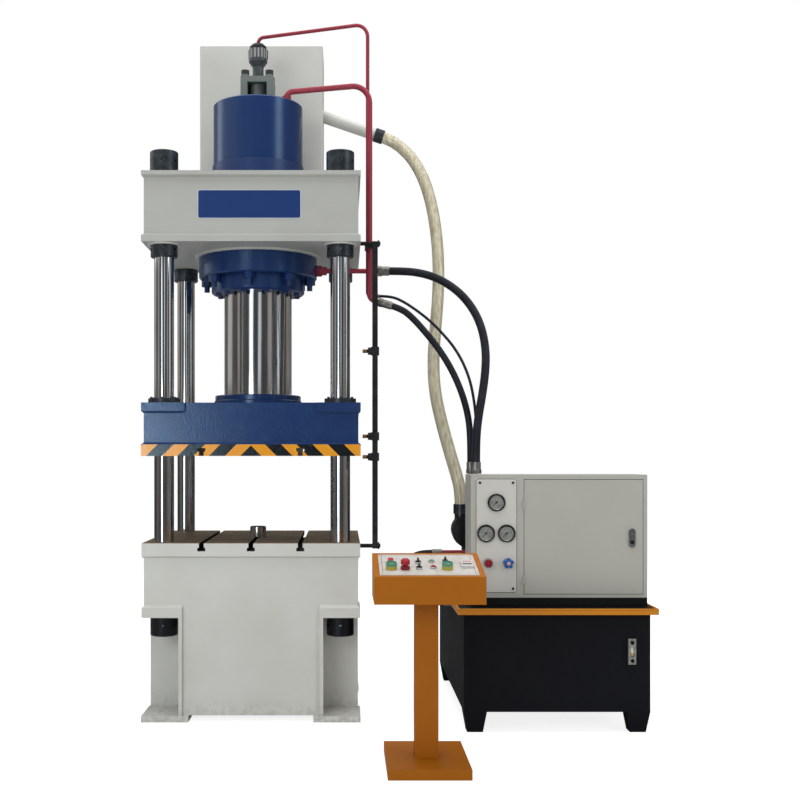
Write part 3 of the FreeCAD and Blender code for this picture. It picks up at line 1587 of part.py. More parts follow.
panel_front = "cabinet_front - sheet"
panel_plate = block("panel_plate", ("panel_left", "panel_left + panel_width"),
                    (panel_front, "cabinet_front"), ("panel_bottom", "panel_bottom + panel_height"))
panel_screws = [
    rod(f"panel_screw_{i}", "panel_screw", "panel_screw_height",
        panel_point((x, z), panel_front), "-y")
    for i, (x, z) in enumerate((x, z) for x in ("panel_screw_in", "panel_width - panel_screw_in")
                               for z in ("panel_screw_in", "panel_height - panel_screw_in"))]
keep("gauge_panel", joined("gauge_panel", cut("panel_pierced", panel_plate,
                                              *panel_holes("panel_hole")), *panel_screws))


def gauge_case(name, place):
    """A gauge's pot with its flange in front of the panel and a sunk dial."""
    return turned(
        name,
        (("0", "-gauge_depth"),
         ("gauge_case / 2", "-gauge_depth"),
         ("gauge_case / 2", "0"),
         ("gauge_bezel / 2", "0"),
         ("gauge_bezel / 2", "gauge_bezel_height - gauge_bezel_bevel"),
         ("gauge_bezel / 2 - gauge_bezel_bevel", "gauge_bezel_height"),
         ("gauge_window / 2", "gauge_bezel_height"),
         ("gauge_window / 2", "gauge_dial_level"),
         ("0", "gauge_dial_level")),
        panel_point(place, panel_front), "-y")


def stem_collar(name, place):
    """The black threaded collar that a valve stem turns in."""
    return turned(name, ring_outline("valve_stem + 2 * fit_gap", "collar_diameter", "0", "collar_height"),
                  panel_point(place, panel_front), "-y")


keep("gauge_cases", together(
    "gauge_cases",
    *[gauge_case(f"gauge_case_{key}", place) for key, place in GAUGES.items()],
    *[stem_collar(f"collar_{key}", place) for key, place in KNOBS.items()]))
keep("gauge_glasses", together("gauge_glasses", *[
    rod(f"gauge_glass_{key}", "gauge_window - 2 * glass_gap", "glass_thickness",
        panel_point(place, f"{panel_front} - glass_level"), "-y") for key, place in GAUGES.items()]))

# A needle rests on zero, at the lower left of its dial.
for key, place in GAUGES.items():
    hub_start = f"{panel_front} - gauge_dial_level - fit_gap"
    hub = rod(f"needle_hub_{key}", "needle_hub", "needle_hub_height", panel_point(place, hub_start), "-y")
    pointer = padded(
        f"needle_pointer_{key}",
        (("-needle_tail", "-needle_width / 2"), ("needle_length", "-needle_tip / 2"),
         ("needle_length", "needle_tip / 2"), ("-needle_tail", "needle_width / 2")),
        "needle_thickness", panel_point(place, f"{hub_start} - fit_gap"), "-y",
        roll=value("needle_zero"))
    keep(f"gauge_needle_{key}", joined(f"gauge_needle_{key}", hub, pointer))


def fluted_knob():
    """The relief valve's knob on its stem, with finger flutes round it."""
    place = KNOBS["relief"]
    stem = rod("relief_stem", "valve_stem", "stem_inside + knob_start + knob_height / 2",
               panel_point(place, f"{panel_front} + stem_inside"), "-y")
    head = turned("relief_head",
                  (("0", "0"), ("knob_diameter / 2", "0"),
                   ("knob_diameter / 2", "knob_height - knob_bevel"),
                   ("knob_diameter / 2 - knob_bevel", "knob_height"), ("0", "knob_height")),
                  panel_point(place, f"{panel_front} - knob_start"), "-y")
    flutes = []
    for i in range(round(value("knob_flutes"))):
        angle = f"{i} * 360 / knob_flutes * 1 deg"
        x = f"{place[0]} + knob_diameter / 2 * cos({angle})"
        z = f"{place[1]} + knob_diameter / 2 * sin({angle})"
        flutes.append(rod(f"relief_flute_{i}", "knob_flute", "knob_height + 2",
                          panel_point((x, z), f"{panel_front} - knob_start + 1"), "-y"))
    return joined("relief_knob", stem, cut("relief_fluted", head, *flutes))


def star_handwheel():
    """The shut-off valve's star wheel: a hub with round lobes about it."""
    place = KNOBS["valve"]
    start = f"{panel_front} - knob_start"
    stem = rod("handwheel_stem", "valve_stem", "stem_inside + knob_start + knob_height / 2",
               panel_point(place, f"{panel_front} + stem_inside"), "-y")
    hub = rod("handwheel_hub", "star_hub", "knob_height", panel_point(place, start), "-y")
    lobes = []
    for i in range(round(value("star_lobes"))):
        angle = f"({i} * 360 / star_lobes + 90) * 1 deg"
        x = f"{place[0]} + star_reach * cos({angle})"
        z = f"{place[1]} + star_reach * sin({angle})"
        lobes.append(rod(f"handwheel_lobe_{i}", "star_lobe", "lobe_height",
                         panel_point((x, z), start), "-y"))
    return joined("valve_handwheel", stem, hub, *lobes)


keep("relief_knob", fluted_knob())
keep("valve_handwheel", star_handwheel())


# ================================================================ valve block, filter, pump and motor

def solenoid_valve(name, x):
    """A directional valve on top of the block, with a coil at each end."""
    body = block(name + "_body", around(x, "valve_width"), around("block_y", "valve_length"),
                 ("block_top", "block_top + valve_height"))
    coils = [rod(f"{name}_coil_{i}", "coil_diameter", "coil_length",
                 (x, f"block_y + {sign} * valve_length / 2", "block_top + valve_height / 2"), along)
             for i, (sign, along) in enumerate(((-1, "-y"), (1, "y")))]
    return joined(name, body, *coils)


keep("valve_block", joined(
    "valve_block",
    block("block_body", ("block_left", "block_left + block_width"), around("block_y", "block_depth"),
          ("lid_top", "block_top")),
    *[solenoid_valve(f"solenoid_valve_{i}", f"block_left + valve_first + {i} * valve_pitch")
      for i in range(3)]))

filter_z = "lid_top + filter_height"
filter_front = "filter_y - filter_length / 2"
keep("return_filter", joined(
    "return_filter",
    rod("filter_body", "filter_diameter", "filter_length", ("filter_x", filter_front, filter_z), "y"),
    rod("filter_cap", "filter_cap", "filter_cap_length", ("filter_x", filter_front, filter_z), "y"),
    rod("filter_spigot", "overflow_pipe", f"filter_spigot_top - ({filter_z})",
        ("filter_spigot_x", "filter_y", filter_z)),
    rod("filter_stand", "filter_stand", "filter_height", ("filter_x", "filter_y", "lid_top")),
    rod("filter_foot", "filter_foot", "filter_foot_height", ("filter_x", "filter_y", "lid_top"))))


def make_motor():
    """A foot-mounted motor: finned barrel, end shields, fan cowl and terminal box."""
    start = ("motor_x", "motor_front", "shaft_height")
    core = rod("motor_core", "motor_core", "motor_length", start, "y")
    hull = rod("motor_fin_hull", "motor_diameter", "motor_fin_length",
               ("motor_x", "motor_front + motor_shield", "shaft_height"), "y")
    fins = []
    for i in range(round(value("motor_fins"))):
        offset = f"({i} - (motor_fins - 1) / 2) * motor_fin_pitch"
        along_y = ("motor_front", "motor_front + motor_length")
        fins.append(block(f"motor_flat_fin_{i}", around("motor_x", "motor_diameter"), along_y,
                          around(f"shaft_height + {offset}", "motor_fin")))
        fins.append(block(f"motor_upright_fin_{i}", around(f"motor_x + {offset}", "motor_fin"), along_y,
                          around("shaft_height", "motor_diameter")))
    finned = doc.addObject("Part::MultiCommon", "motor_finned")
    finned.Shapes = [hull, joined("motor_fins", *fins)]
    shield = rod("motor_front_shield", "motor_diameter", "motor_shield", start, "y")
    cowl = turned("motor_cowl",
                  (("0", "0"), ("motor_diameter / 2", "0"),
                   ("motor_diameter / 2", "motor_cowl - motor_cowl_bevel"),
                   ("motor_diameter / 2 - motor_cowl_bevel", "motor_cowl"), ("0", "motor_cowl")),
                  ("motor_x", "motor_front + motor_length - motor_cowl", "shaft_height"), "y")
    box = block("terminal_box", around("motor_x", "terminal_box_width"),
                ("motor_front + motor_shield + terminal_box_start",
                 "motor_front + motor_shield + terminal_box_start + terminal_box_length"),
                ("shaft_height + motor_core / 2 - terminal_box_seat",
                 "shaft_height + motor_diameter / 2 + terminal_box_height"))
    feet = with_twin_about("motor_feet", block(
        "motor_foot",
        ("motor_x + motor_foot_inside", "motor_x + motor_foot_inside + motor_foot_width"),
        ("motor_front + motor_shield", "motor_front + motor_length - motor_cowl"),
        ("lid_top", "shaft_height - motor_foot_drop")), "motor_x")
    return joined("motor", core, finned, shield, cowl, box, feet)


def with_twin_about(name, piece, x):
    """A piece and its mirror image about an upright plane across X."""
    twin = doc.addObject("Part::Mirroring", name + "_twin")
    twin.Source = piece
    twin.Normal = Vector(1, 0, 0)
    twin.setExpression("Base.x", bound(x))
    return together(name, piece, twin)


keep("motor", make_motor())

bell_start = ("motor_x", "motor_front", "shaft_height")
pump_start = ("motor_x", "motor_front - bell_length", "shaft_height")
keep("pump", joined(
    "pump",
    turned("bell_housing",
           (("0", "0"), ("bell_wide / 2", "0"), ("bell_wide / 2", "bell_flange"),
            ("bell_narrow / 2", "bell_length - bell_flange"),
            ("bell_narrow / 2", "bell_length"), ("0", "bell_length")),
           bell_start, "-y"),
    turned("pump_body",
           (("0", "0"), ("pump_flange / 2", "0"), ("pump_flange / 2", "pump_flange_length"),
            ("pump_diameter / 2", "pump_flange_length"),
            ("pump_diameter / 2", "pump_length - pump_bevel"),
            ("pump_diameter / 2 - pump_bevel", "pump_length"), ("0", "pump_length")),
           pump_start, "-y")))


# ================================================================ pipes and hoses of the power unit

def riser(name, x, y, top, leg, diameter, bend):
    """A pipe that falls behind the cabinet and runs forward into the valve block."""
    return bent_pipe(name, ((x, y, top), (x, y, leg), (x, "block_back", leg)), diameter, bend)


pump_port_y = "motor_front - bell_length - pump_port"
pressure_line = bent_pipe(
    "pressure_line",
    (("motor_x", pump_port_y, "shaft_height"),
     ("motor_x", pump_port_y, "pressure_line_height"),
     ("block_left + pressure_line_x", pump_port_y, "pressure_line_height"),
     ("block_left + pressure_line_x", "block_y", "pressure_line_height"),
     ("block_left + pressure_line_x", "block_y", "block_top")),
    "pressure_line", "pressure_line_bend")
suction_line = rod("suction_line", "suction_line", "shaft_height - lid_top",
                   ("motor_x", pump_port_y, "lid_top"))
keep("unit_pipes", together(
    "unit_pipes",
    riser("pressure_riser", "pressure_riser_x", "pressure_riser_y", "riser_top", "pressure_leg",
          "port_pipe", "riser_bend"),
    riser("return_riser", "return_riser_x", "return_riser_y", "riser_top", "return_leg",
          "return_pipe", "riser_bend"),
    riser("pilot_riser", "pilot_riser_x", "pilot_riser_y", "riser_top + hose_end_length - small_end_length",
          "pilot_leg", "small_pipe", "small_bend"),
    bent_pipe("drain_pipe",
              (("drain_x", "block_back", "drain_height"),
               ("drain_x", "drain_y", "drain_height"),
               ("drain_end", "drain_y", "drain_height")),
              "drain_pipe", "small_bend"),
    cut("pressure_line_seated", pressure_line, nodes["pump"]),
    cut("suction_line_seated", suction_line, nodes["pump"])))

keep("hose_ends", together(
    "hose_ends",
    hose_end("pressure_hose_start", "pressure_hose", "hose_end_length",
             ("port_pipe_end", "0", "port_height"), "x"),
    hose_end("pressure_hose_finish", "pressure_hose", "hose_end_length",
             ("pressure_riser_x", "pressure_riser_y", "riser_top"), "z"),
    hose_end("return_hose_start", "return_hose", "main_end_length", main_tail_end, main_tail),
    hose_end("return_hose_finish", "return_hose", "hose_end_length",
             ("return_riser_x", "return_riser_y", "riser_top"), "z"),
    hose_end("pilot_hose_start", "pilot_hose", "small_end_length",
             ("pilot_drop_x + pilot_tail", "pilot_drop_y", "pilot_elbow_z"), "x"),
    hose_end("pilot_hose_finish", "pilot_hose", "small_end_length",
             ("pilot_riser_x", "pilot_riser_y", "riser_top + hose_end_length - small_end_length"), "z"),
    hose_end("drain_hose_start", "drain_hose", "drain_end_length",
             ("drain_end", "drain_y", "drain_height"), "-x"),
    hose_end("drain_hose_finish", "drain_hose", "drain_end_length",
             ("unit_left", "drain_y", "drain_return_height"), "-x")))

keep("clear_hose", free_hose("clear_hose", (
    (770.3, 450, 3659.5), (841, 450, 3635.1), (922, 436, 3578), (997, 404, 3488), (1063, 364, 3354),
    (1110, 322, 3180), (1135, 276, 3001), (1147, 226, 2811), (1143, 175, 2584), (1120, 124, 2348),
    (1100, 74, 2127), (1109, 28, 1923), (1149, -14, 1733), (1193, -49, 1560), (1232, -80, 1423),
    (1258, -100, 1315), (1258, -100, 1207)), "clear_hose"))
keep("pressure_hose", free_hose("pressure_hose", (
    (819, 0, 2690), (912, 0, 2690), (1011, -22, 2676), (1109, -47, 2643), (1200, -78, 2586),
    (1276, -114, 2513), (1340, -153, 2415), (1381, -192, 2301), (1398, -231, 2163),
    (1388, -269, 2027), (1365, -305, 1893), (1338, -334, 1760), (1323, -350, 1628),
    (1323, -350, 1497)), "pressure_hose"))
keep("return_hose", free_hose("return_hose", (
    (824, -300, 2433), (886, -300, 2414), (953, -297, 2358), (1023, -295, 2280),
    (1096, -291, 2191), (1162, -288, 2092), (1218, -282, 1984), (1263, -276, 1864),
    (1291, -268, 1744), (1300, -262, 1616), (1300, -262, 1497)), "return_hose"))
keep("pilot_hose", free_hose("pilot_hose", (
    (751, -240, 2500), (825, -240, 2500), (902, -244, 2464), (978, -249, 2412),
    (1056, -256, 2350), (1128, -263, 2276), (1197, -270, 2194), (1253, -277, 2099),
    (1295, -283, 1990), (1319, -287, 1869), (1331, -290, 1747), (1332, -290, 1621),
    (1332, -290, 1497)), "pilot_hose"))
keep("drain_hose", free_hose("drain_hose", (
    (1070, -230, 954), (1018, -230, 954), (960, -230, 938), (911, -230, 897), (884, -230, 838),
    (881, -230, 772), (906, -230, 712), (953, -230, 667), (1012, -230, 644), (1078, -230, 638),
    (1140, -230, 638)), "drain_hose"))


# ================================================================ control console

keep("console_stand", joined(
    "console_stand",
    block("console_base", around("console_x", "console_base_width"),
          ("console_base_front", "console_base_front + console_base_depth"),
          ("0", "console_base_height")),
    block("console_post", around("console_x", "console_post"), around("console_post_y", "console_post"),
          ("console_base_height", "console_bottom"))))

console_back = "console_front + console_depth"
keep("console_box", padded(
    "console_box",
    (("-(console_bottom)", "console_front"),
     ("-(console_edge_height)", "console_front"),
     ("-(console_edge_height + console_depth * tan(console_slope * 1 deg))", console_back),
     ("-(console_bottom)", console_back)),
    "console_width", ("console_x - console_width / 2", "0", "0"), "x"))


def on_console(piece, x, along, lift="0"):
    """Stand a piece on the sloping face, along it from the front edge and lifted off it."""
    slope = "console_slope * 1 deg"
    return seat(piece,
                (f"console_x + {x}",
                 f"console_front + ({along}) * cos({slope}) - ({lift}) * sin({slope})",
                 f"console_edge_height + ({along}) * sin({slope}) + ({lift}) * cos({slope})"),
                Rotation(Vector(1, 0, 0), value("console_slope")))


def console_pad(name, width, length, height, x, along, lift):
    """A rectangular piece centred on a point of the sloping face."""
    half_width, half_length = f"({width}) / 2", f"({length}) / 2"
    piece = padded(name, ((f"-{half_width}", f"-{half_length}"), (half_width, f"-{half_length}"),
                          (half_width, half_length), (f"-{half_width}", half_length)), height)
    return on_console(piece, x, along, lift)


slope_length = "console_depth / cos(console_slope * 1 deg)"
plate_length = f"({slope_length} - console_margin_front - console_margin_back)"
keep("console_plate", console_pad(
    "console_plate", "console_width - 2 * console_margin_side", plate_length, "console_plate",
    "0", f"console_margin_front + {plate_length} / 2", "0"))

TWO_HAND = {"left": "-two_hand_left", "right": "two_hand_right"}
SELECTORS = {"rear": ("selector_right_x", "selector_far"),
             "middle": ("-selector_left_x", "selector_middle"),
             "front": ("-selector_left_x", "selector_near")}
PRESS_BUTTONS = {"green": ("green_x", "green_along"), "red": ("red_x", "red_along")}


def console_ring(name, inner, outer, height, x, along):
    """A ring screwed down on the face plate, which a control moves in."""
    ring = turned(name, ring_outline(f"{inner} + 2 * fit_gap", outer, "0", height))
    return on_console(ring, x, along, "console_plate")


def console_turned(name, outline, x, along):
    """A turned control that stands on the face plate."""
    return on_console(turned(name, outline), x, along, "console_plate")


lamp = console_turned(
    "signal_lamp",
    (("0", "0"), ("small_collar / 2", "0"), ("small_collar / 2", "lamp_collar"),
     ("lamp_diameter / 2", "lamp_collar"), ("lamp_diameter / 2", "lamp_height - lamp_bevel"),
     ("lamp_diameter / 2 - lamp_bevel", "lamp_height"), ("0", "lamp_height")),
    "-two_hand_left", "selector_far")
counter = console_pad("counter", "counter_width", "counter_length", "counter_height",
                      "counter_x", "counter_along", "console_plate")
keep("panel_collars", together(
    "panel_collars",
    *[console_ring(f"two_hand_guard_{side}", "two_hand_button", "two_hand_guard", "two_hand_guard_height",
                   x, "two_hand_along") for side, x in TWO_HAND.items()],
    console_ring("stop_collar", "stop_stem", "stop_collar", "stop_collar_height", "-stop_x",
                 "stop_along"),
    *[console_ring(f"{colour}_collar", "press_button", "small_collar", "small_collar_height", x, along)
      for colour, (x, along) in PRESS_BUTTONS.items()],
    *[console_ring(f"{row}_selector_collar", "selector_stem", "small_collar", "small_collar_height",
                   x, along) for row, (x, along) in SELECTORS.items()],
    lamp, counter))

for side, x in TWO_HAND.items():
    keep(f"two_hand_button_{side}", console_turned(
        f"two_hand_button_{side}",
        (("0", "button_travel + button_clearance"),
         ("two_hand_button / 2", "button_travel + button_clearance"),
         ("two_hand_button / 2", "two_hand_height - two_hand_bevel"),
         ("two_hand_button / 2 - two_hand_bevel", "two_hand_height"),
         ("0", "two_hand_height")), x, "two_hand_along"))

keep("stop_button", console_turned(
    "stop_button",
    (("0", "button_travel + button_clearance"),
     ("stop_stem / 2", "button_travel + button_clearance"),
     ("stop_stem / 2", "stop_head_start"),
     ("stop_head / 2 - button_bevel", "stop_head_start"),
     ("stop_head / 2", "stop_head_start + button_bevel"),
     ("stop_head / 2", "stop_height - 3 * button_bevel"),
     ("stop_head / 2 - 3 * button_bevel", "stop_height"),
     ("0", "stop_height")), "-stop_x", "stop_along"))

for colour, (x, along) in PRESS_BUTTONS.items():
    keep(f"{colour}_button", console_turned(
        f"{colour}_button",
        (("0", "button_travel + button_clearance"),
         ("press_button / 2", "button_travel + button_clearance"),
         ("press_button / 2", "press_button_height - button_bevel"),
         ("press_button / 2 - button_bevel", "press_button_height"),
         ("0", "press_button_height")), x, along))

for row, (x, along) in SELECTORS.items():
    knob = console_turned(
        f"{row}_selector_knob",
        (("0", "button_clearance"), ("selector_stem / 2", "button_clearance"),
         ("selector_stem / 2", "small_collar_height + fit_gap"),
         ("selector_knob / 2", "small_collar_height + fit_gap"),
         ("selector_knob / 2", "small_collar_height + fit_gap + selector_disc"),
         ("0", "small_collar_height + fit_gap + selector_disc")), x, along)
    grip = console_pad(f"{row}_selector_grip", "selector_grip", "selector_knob", "selector_grip_height",
                       x, along, "console_plate + small_collar_height + fit_gap + selector_disc")
    keep(f"{row}_selector", joined(f"{row}_selector", knob, grip))


# ================================================================ checks and files

def write_files():
    """Stop on any failed object, then write one STEP file for each sub-part."""
    doc.recompute()
    failed = [item.Name for item in doc.Objects if {"Invalid", "Error"} & set(item.State)]
    if failed:
        raise RuntimeError(f"failed objects: {failed}")
    os.makedirs("parts", exist_ok=True)
    for name, piece in nodes.items():
        shape = piece.Shape
        if shape.isNull() or not shape.isValid() or shape.Volume <= 0:
            raise RuntimeError(f"{name} has no valid solid")
        shape.exportStep(f"parts/{name}.step")
        box = shape.BoundBox
        print(f"{name:24s} {len(shape.Solids):3d} solids  {shape.Volume / 1e6:9.2f} dm3  "
              f"X {box.XMin:.0f}..{box.XMax:.0f}  Y {box.YMin:.0f}..{box.YMax:.0f}  "
              f"Z {box.ZMin:.0f}..{box.ZMax:.0f}")


write_files()
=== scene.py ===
"""Four-column hydraulic press with its oil power unit and control console, dressed in Blender.

Metres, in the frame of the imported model: +X is the operator's right, +Y the back, +Z up.
"""
import math

import bmesh
import bpy
import numpy as np
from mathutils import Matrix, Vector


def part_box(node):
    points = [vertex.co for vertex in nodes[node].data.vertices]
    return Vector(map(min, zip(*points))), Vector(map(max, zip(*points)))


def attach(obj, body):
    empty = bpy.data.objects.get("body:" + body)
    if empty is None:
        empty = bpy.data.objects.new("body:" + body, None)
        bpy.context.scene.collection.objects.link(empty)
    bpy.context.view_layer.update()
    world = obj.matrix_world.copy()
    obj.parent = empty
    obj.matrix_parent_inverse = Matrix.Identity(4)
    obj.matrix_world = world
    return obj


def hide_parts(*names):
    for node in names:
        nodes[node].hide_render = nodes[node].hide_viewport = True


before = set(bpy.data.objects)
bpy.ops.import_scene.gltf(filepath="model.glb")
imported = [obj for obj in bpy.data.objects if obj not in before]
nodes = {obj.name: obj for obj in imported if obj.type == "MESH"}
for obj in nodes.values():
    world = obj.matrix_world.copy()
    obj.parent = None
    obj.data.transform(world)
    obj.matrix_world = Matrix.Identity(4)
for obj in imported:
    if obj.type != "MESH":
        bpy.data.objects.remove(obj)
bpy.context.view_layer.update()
scene = bpy.context.scene


# ---------------------------------------------------------------- studio
# A pale floor, a white surround and soft lamps, with the camera where the photograph was taken:
# 7.2 m in front of the press, level with the slider's lower face, looking straight back.

def linear(hex_colour):
    """An sRGB hex colour in linear light: each channel c is c / 12.92 up to 0.04045, and above
    that ((c + 0.055) / 1.055) to the power 2.4."""
    channels = [int(hex_colour[i:i + 2], 16) / 255 for i in (1, 3, 5)]
    return tuple(c / 12.92 if c <= 0.04045 else ((c + 0.055) / 1.055) ** 2.4
                 for c in channels) + (1.0,)


def add(tree, kind, inputs=None, **settings):
    """Adds one node. The settings are its own properties; the inputs are its sockets by name or
    number, each linked to another node's output or set to a value."""
    made = tree.nodes.new(kind)
    for name, setting in settings.items():
        setattr(made, name, setting)
    for name, value in (inputs or {}).items():
        socket = made.inputs[name]
        if isinstance(value, bpy.types.NodeSocket):
            tree.links.new(value, socket)
        else:
            socket.default_value = value
    return made


def seen_directly(tree):
    """1 for a ray from the camera, or one that a glossy or clear surface sends on, and 0 for the
    rays that only carry light: the largest of Light Path's three flags."""
    path = add(tree, "ShaderNodeLightPath")
    mirrored = add(tree, "ShaderNodeMath", {0: path.outputs["Is Camera Ray"],
                                            1: path.outputs["Is Glossy Ray"]}, operation="MAXIMUM")
    return add(tree, "ShaderNodeMath", {0: mirrored.outputs[0],
                                        1: path.outputs["Is Transmission Ray"]},
               operation="MAXIMUM").outputs[0]


camera_data = bpy.data.cameras.new("camera")
camera_data.sensor_width = 36.0
camera_data.lens = 52.11
camera_data.shift_x = 0.07125
camera_data.shift_y = 0.07
camera = bpy.data.objects.new("camera", camera_data)
camera.location = (0.531, -7.248, 1.533)
camera.rotation_euler = (math.radians(90), 0, 0)
scene.collection.objects.link(camera)
scene.camera = camera
scene.view_settings.view_transform = "Standard"

world = bpy.data.worlds.new("surround")
world.use_nodes = True
scene.world = world
tree = world.node_tree
tree.nodes.clear()
lighting = add(tree, "ShaderNodeBackground", {"Color": linear("#eef1f5"), "Strength": 0.5})
backdrop = add(tree, "ShaderNodeBackground", {"Color": (1, 1, 1, 1), "Strength": 1.0})
mixed = add(tree, "ShaderNodeMixShader", {0: seen_directly(tree), 1: lighting.outputs[0],
                                          2: backdrop.outputs[0]})
add(tree, "ShaderNodeOutputWorld", {"Surface": mixed.outputs[0]})

floor_half = 40.0
floor_level = -0.0005
floor_mesh = bpy.data.meshes.new("floor")
floor_mesh.from_pydata([(x * floor_half, y * floor_half, floor_level)
                        for x, y in ((-1, -1), (1, -1), (1, 1), (-1, 1))], [], [(0, 1, 2, 3)])
floor = bpy.data.objects.new("floor", floor_mesh)
scene.collection.objects.link(floor)
# The floor is pale concrete to the light, and to the eye nearly white with a soft shadow on it.
# Reflections see it dim, as a workshop's floor is.
floor_finish = bpy.data.materials.new("pale_floor")
floor_finish.use_nodes = True
tree = floor_finish.node_tree
tree.nodes.clear()
concrete = add(tree, "ShaderNodeBsdfDiffuse", {"Color": linear("#dcdcda")})
shadowed = add(tree, "ShaderNodeBsdfDiffuse", {"Color": (0.4, 0.4, 0.4, 1)})
glossy_ray = add(tree, "ShaderNodeLightPath").outputs["Is Glossy Ray"]
own_light = add(tree, "ShaderNodeMapRange", {"Value": glossy_ray, "To Min": 0.84, "To Max": 0.02})
glow = add(tree, "ShaderNodeEmission", {"Color": (1, 1, 1, 1), "Strength": own_light.outputs[0]})
white = add(tree, "ShaderNodeAddShader", {0: shadowed.outputs[0], 1: glow.outputs[0]})
mixed = add(tree, "ShaderNodeMixShader", {0: seen_directly(tree), 1: concrete.outputs[0],
                                          2: white.outputs[0]})
add(tree, "ShaderNodeOutputMaterial", {"Surface": mixed.outputs[0]})
floor_mesh.materials.append(floor_finish)

# Name, place, size, watts: a wide ceiling panel, a key panel at the front left, a fill at the
# right and a panel behind, all turned towards the press's table and the power unit.
lamp_target = np.array((0.6, -0.6, 1.6))
for name, place, size, watts in (("ceiling", (0.6, -0.8, 8.5), 6.0, 500),
                                 ("key", (-3.6, -8.6, 3.6), 4.0, 228),
                                 ("fill", (7.0, -6.5, 3.5), 4.0, 120),
                                 ("rear", (0.5, 8.0, 5.0), 5.0, 200)):
    lamp_data = bpy.data.lights.new(name, "AREA")
    lamp_data.size = size
    lamp_data.energy = watts
    lamp = bpy.data.objects.new(name, lamp_data)
    lamp.location = place
    towards = Vector(lamp_target - np.array(place))
    lamp.rotation_euler = towards.to_track_quat("-Z", "Y").to_euler()
    lamp.visible_camera = False
    lamp.visible_glossy = False
    scene.collection.objects.link(lamp)

# Bright metal shows what stands round it: a workshop wall with tall windows, which only
# reflections see. The wall is a ring, and its windows are told apart by their direction.
wall_radius = 14.0
wall_height = 12.0
turn = np.linspace(0, 2 * np.pi, 97)[:-1]
wall_points = np.stack([np.stack([wall_radius * np.cos(turn), wall_radius * np.sin(turn),
                                  np.full_like(turn, height)], axis=-1)
                        for height in (0.0, wall_height)])
ring = np.arange(len(turn))
after = np.roll(ring, -1)
wall_faces = np.stack([ring, after, after + len(turn), ring + len(turn)], axis=-1)
wall_mesh = bpy.data.meshes.new("workshop_wall")
wall_mesh.from_pydata(wall_points.reshape(-1, 3).tolist(), [], wall_faces.tolist())
wall = bpy.data.objects.new("workshop_wall", wall_mesh)
scene.collection.objects.link(wall)
for ray in ("camera", "diffuse", "transmission", "volume_scatter", "shadow"):
    setattr(wall, f"visible_{ray}", False)
wall_finish = bpy.data.materials.new("wall_with_windows")
wall_finish.use_nodes = True
tree = wall_finish.node_tree
tree.nodes.clear()
place = add(tree, "ShaderNodeSeparateXYZ", {0: add(tree, "ShaderNodeTexCoord").outputs["Object"]})
forward = add(tree, "ShaderNodeMath", {0: place.outputs["Y"], 1: -1.0}, operation="MULTIPLY")
heading = add(tree, "ShaderNodeMath", {0: place.outputs["X"], 1: forward.outputs[0]},
              operation="ARCTAN2")
round_ring = add(tree, "ShaderNodeMapRange", {"Value": heading.outputs[0], "From Min": -math.pi,
                                              "From Max": math.pi})


def wall_light(tree, round_ring, levels):
    """The wall's light round the ring: a colour ramp through pairs of a direction, in degrees to
    the right of the front, and a level. Daylight is bluish, and what it lights is warm."""
    ramp = add(tree, "ShaderNodeValToRGB", {0: round_ring.outputs[0]})
    elements = ramp.color_ramp.elements
    for direction, level in levels[1:-1]:
        elements.new((direction + 180) / 360)
    for element, (direction, level) in zip(elements, levels):
        tint = (0.84, 0.93, 1.0) if level > 0.3 else (1.0, 0.96, 0.92)
        element.color = tuple(level * channel for channel in tint) + (1.0,)
    return ramp.outputs["Color"]


# Low down, one tall window stands out from dim walls. From about 2.6 m up there are more of them,
# and from about 5 m up there are two skylights, the left one with pale wall beside it.
low_light = wall_light(tree, round_ring, (
    (-180, 0.05), (-150, 0.04), (-120, 0.03), (-97, 0.03), (-80, 0.07), (-62, 0.08),
    (-48, 0.045), (-31, 0.04), (-26, 0.3), (-23, 4.0), (-13, 4.0), (-12, 0.08), (-2, 0.05),
    (16, 0.045), (26, 0.03), (38, 0.06), (48, 0.08), (60, 0.105), (71, 0.10), (82, 0.035),
    (97, 0.012), (115, 0.035), (150, 0.015), (180, 0.05)))
middle_light = wall_light(tree, round_ring, (
    (-180, 0.08), (-150, 0.06), (-125, 0.05), (-118, 0.22), (-98, 0.22), (-92, 0.05), (-72, 0.03),
    (-66, 0.15), (-50, 0.15), (-46, 0.04), (-27, 0.03), (-24, 0.8), (-14, 0.8), (-12, 0.03),
    (3, 0.03), (6, 0.34), (13, 0.34), (16, 0.03), (34, 0.03), (40, 0.15), (50, 0.15), (54, 0.03),
    (66, 0.03), (71, 0.36), (82, 0.36), (86, 0.03), (112, 0.03), (118, 0.10), (126, 0.10),
    (180, 0.08)))
high_light = wall_light(tree, round_ring, (
    (-180, 0.10), (-125, 0.10), (-119, 0.9), (-105, 0.9), (-100, 0.29), (-58, 0.27), (-30, 0.06),
    (35, 0.05), (49, 0.08), (52, 1.5), (63, 1.5), (67, 0.12), (100, 0.06), (180, 0.10)))
# The low wall grows brighter with its height.
brighter = add(tree, "ShaderNodeMapRange", {"Value": place.outputs["Z"], "From Max": 5.5,
                                            "To Min": 0.65, "To Max": 1.5}).outputs[0]
light = add(tree, "ShaderNodeVectorMath", {0: low_light, "Scale": brighter},
            operation="SCALE").outputs[0]
for upper_light, start, end in ((middle_light, 2.4, 2.9), (high_light, 4.8, 5.2)):
    up_there = add(tree, "ShaderNodeMapRange", {"Value": place.outputs["Z"], "From Min": start,
                                                "From Max": end}).outputs[0]
    light = add(tree, "ShaderNodeMix", {0: up_there, 6: light, 7: upper_light},
                data_type="RGBA").outputs[2]
wall_strength = 2.6
glow = add(tree, "ShaderNodeEmission", {"Color": light, "Strength": wall_strength})
add(tree, "ShaderNodeOutputMaterial", {"Surface": glow.outputs[0]})
wall_mesh.materials.append(wall_finish)


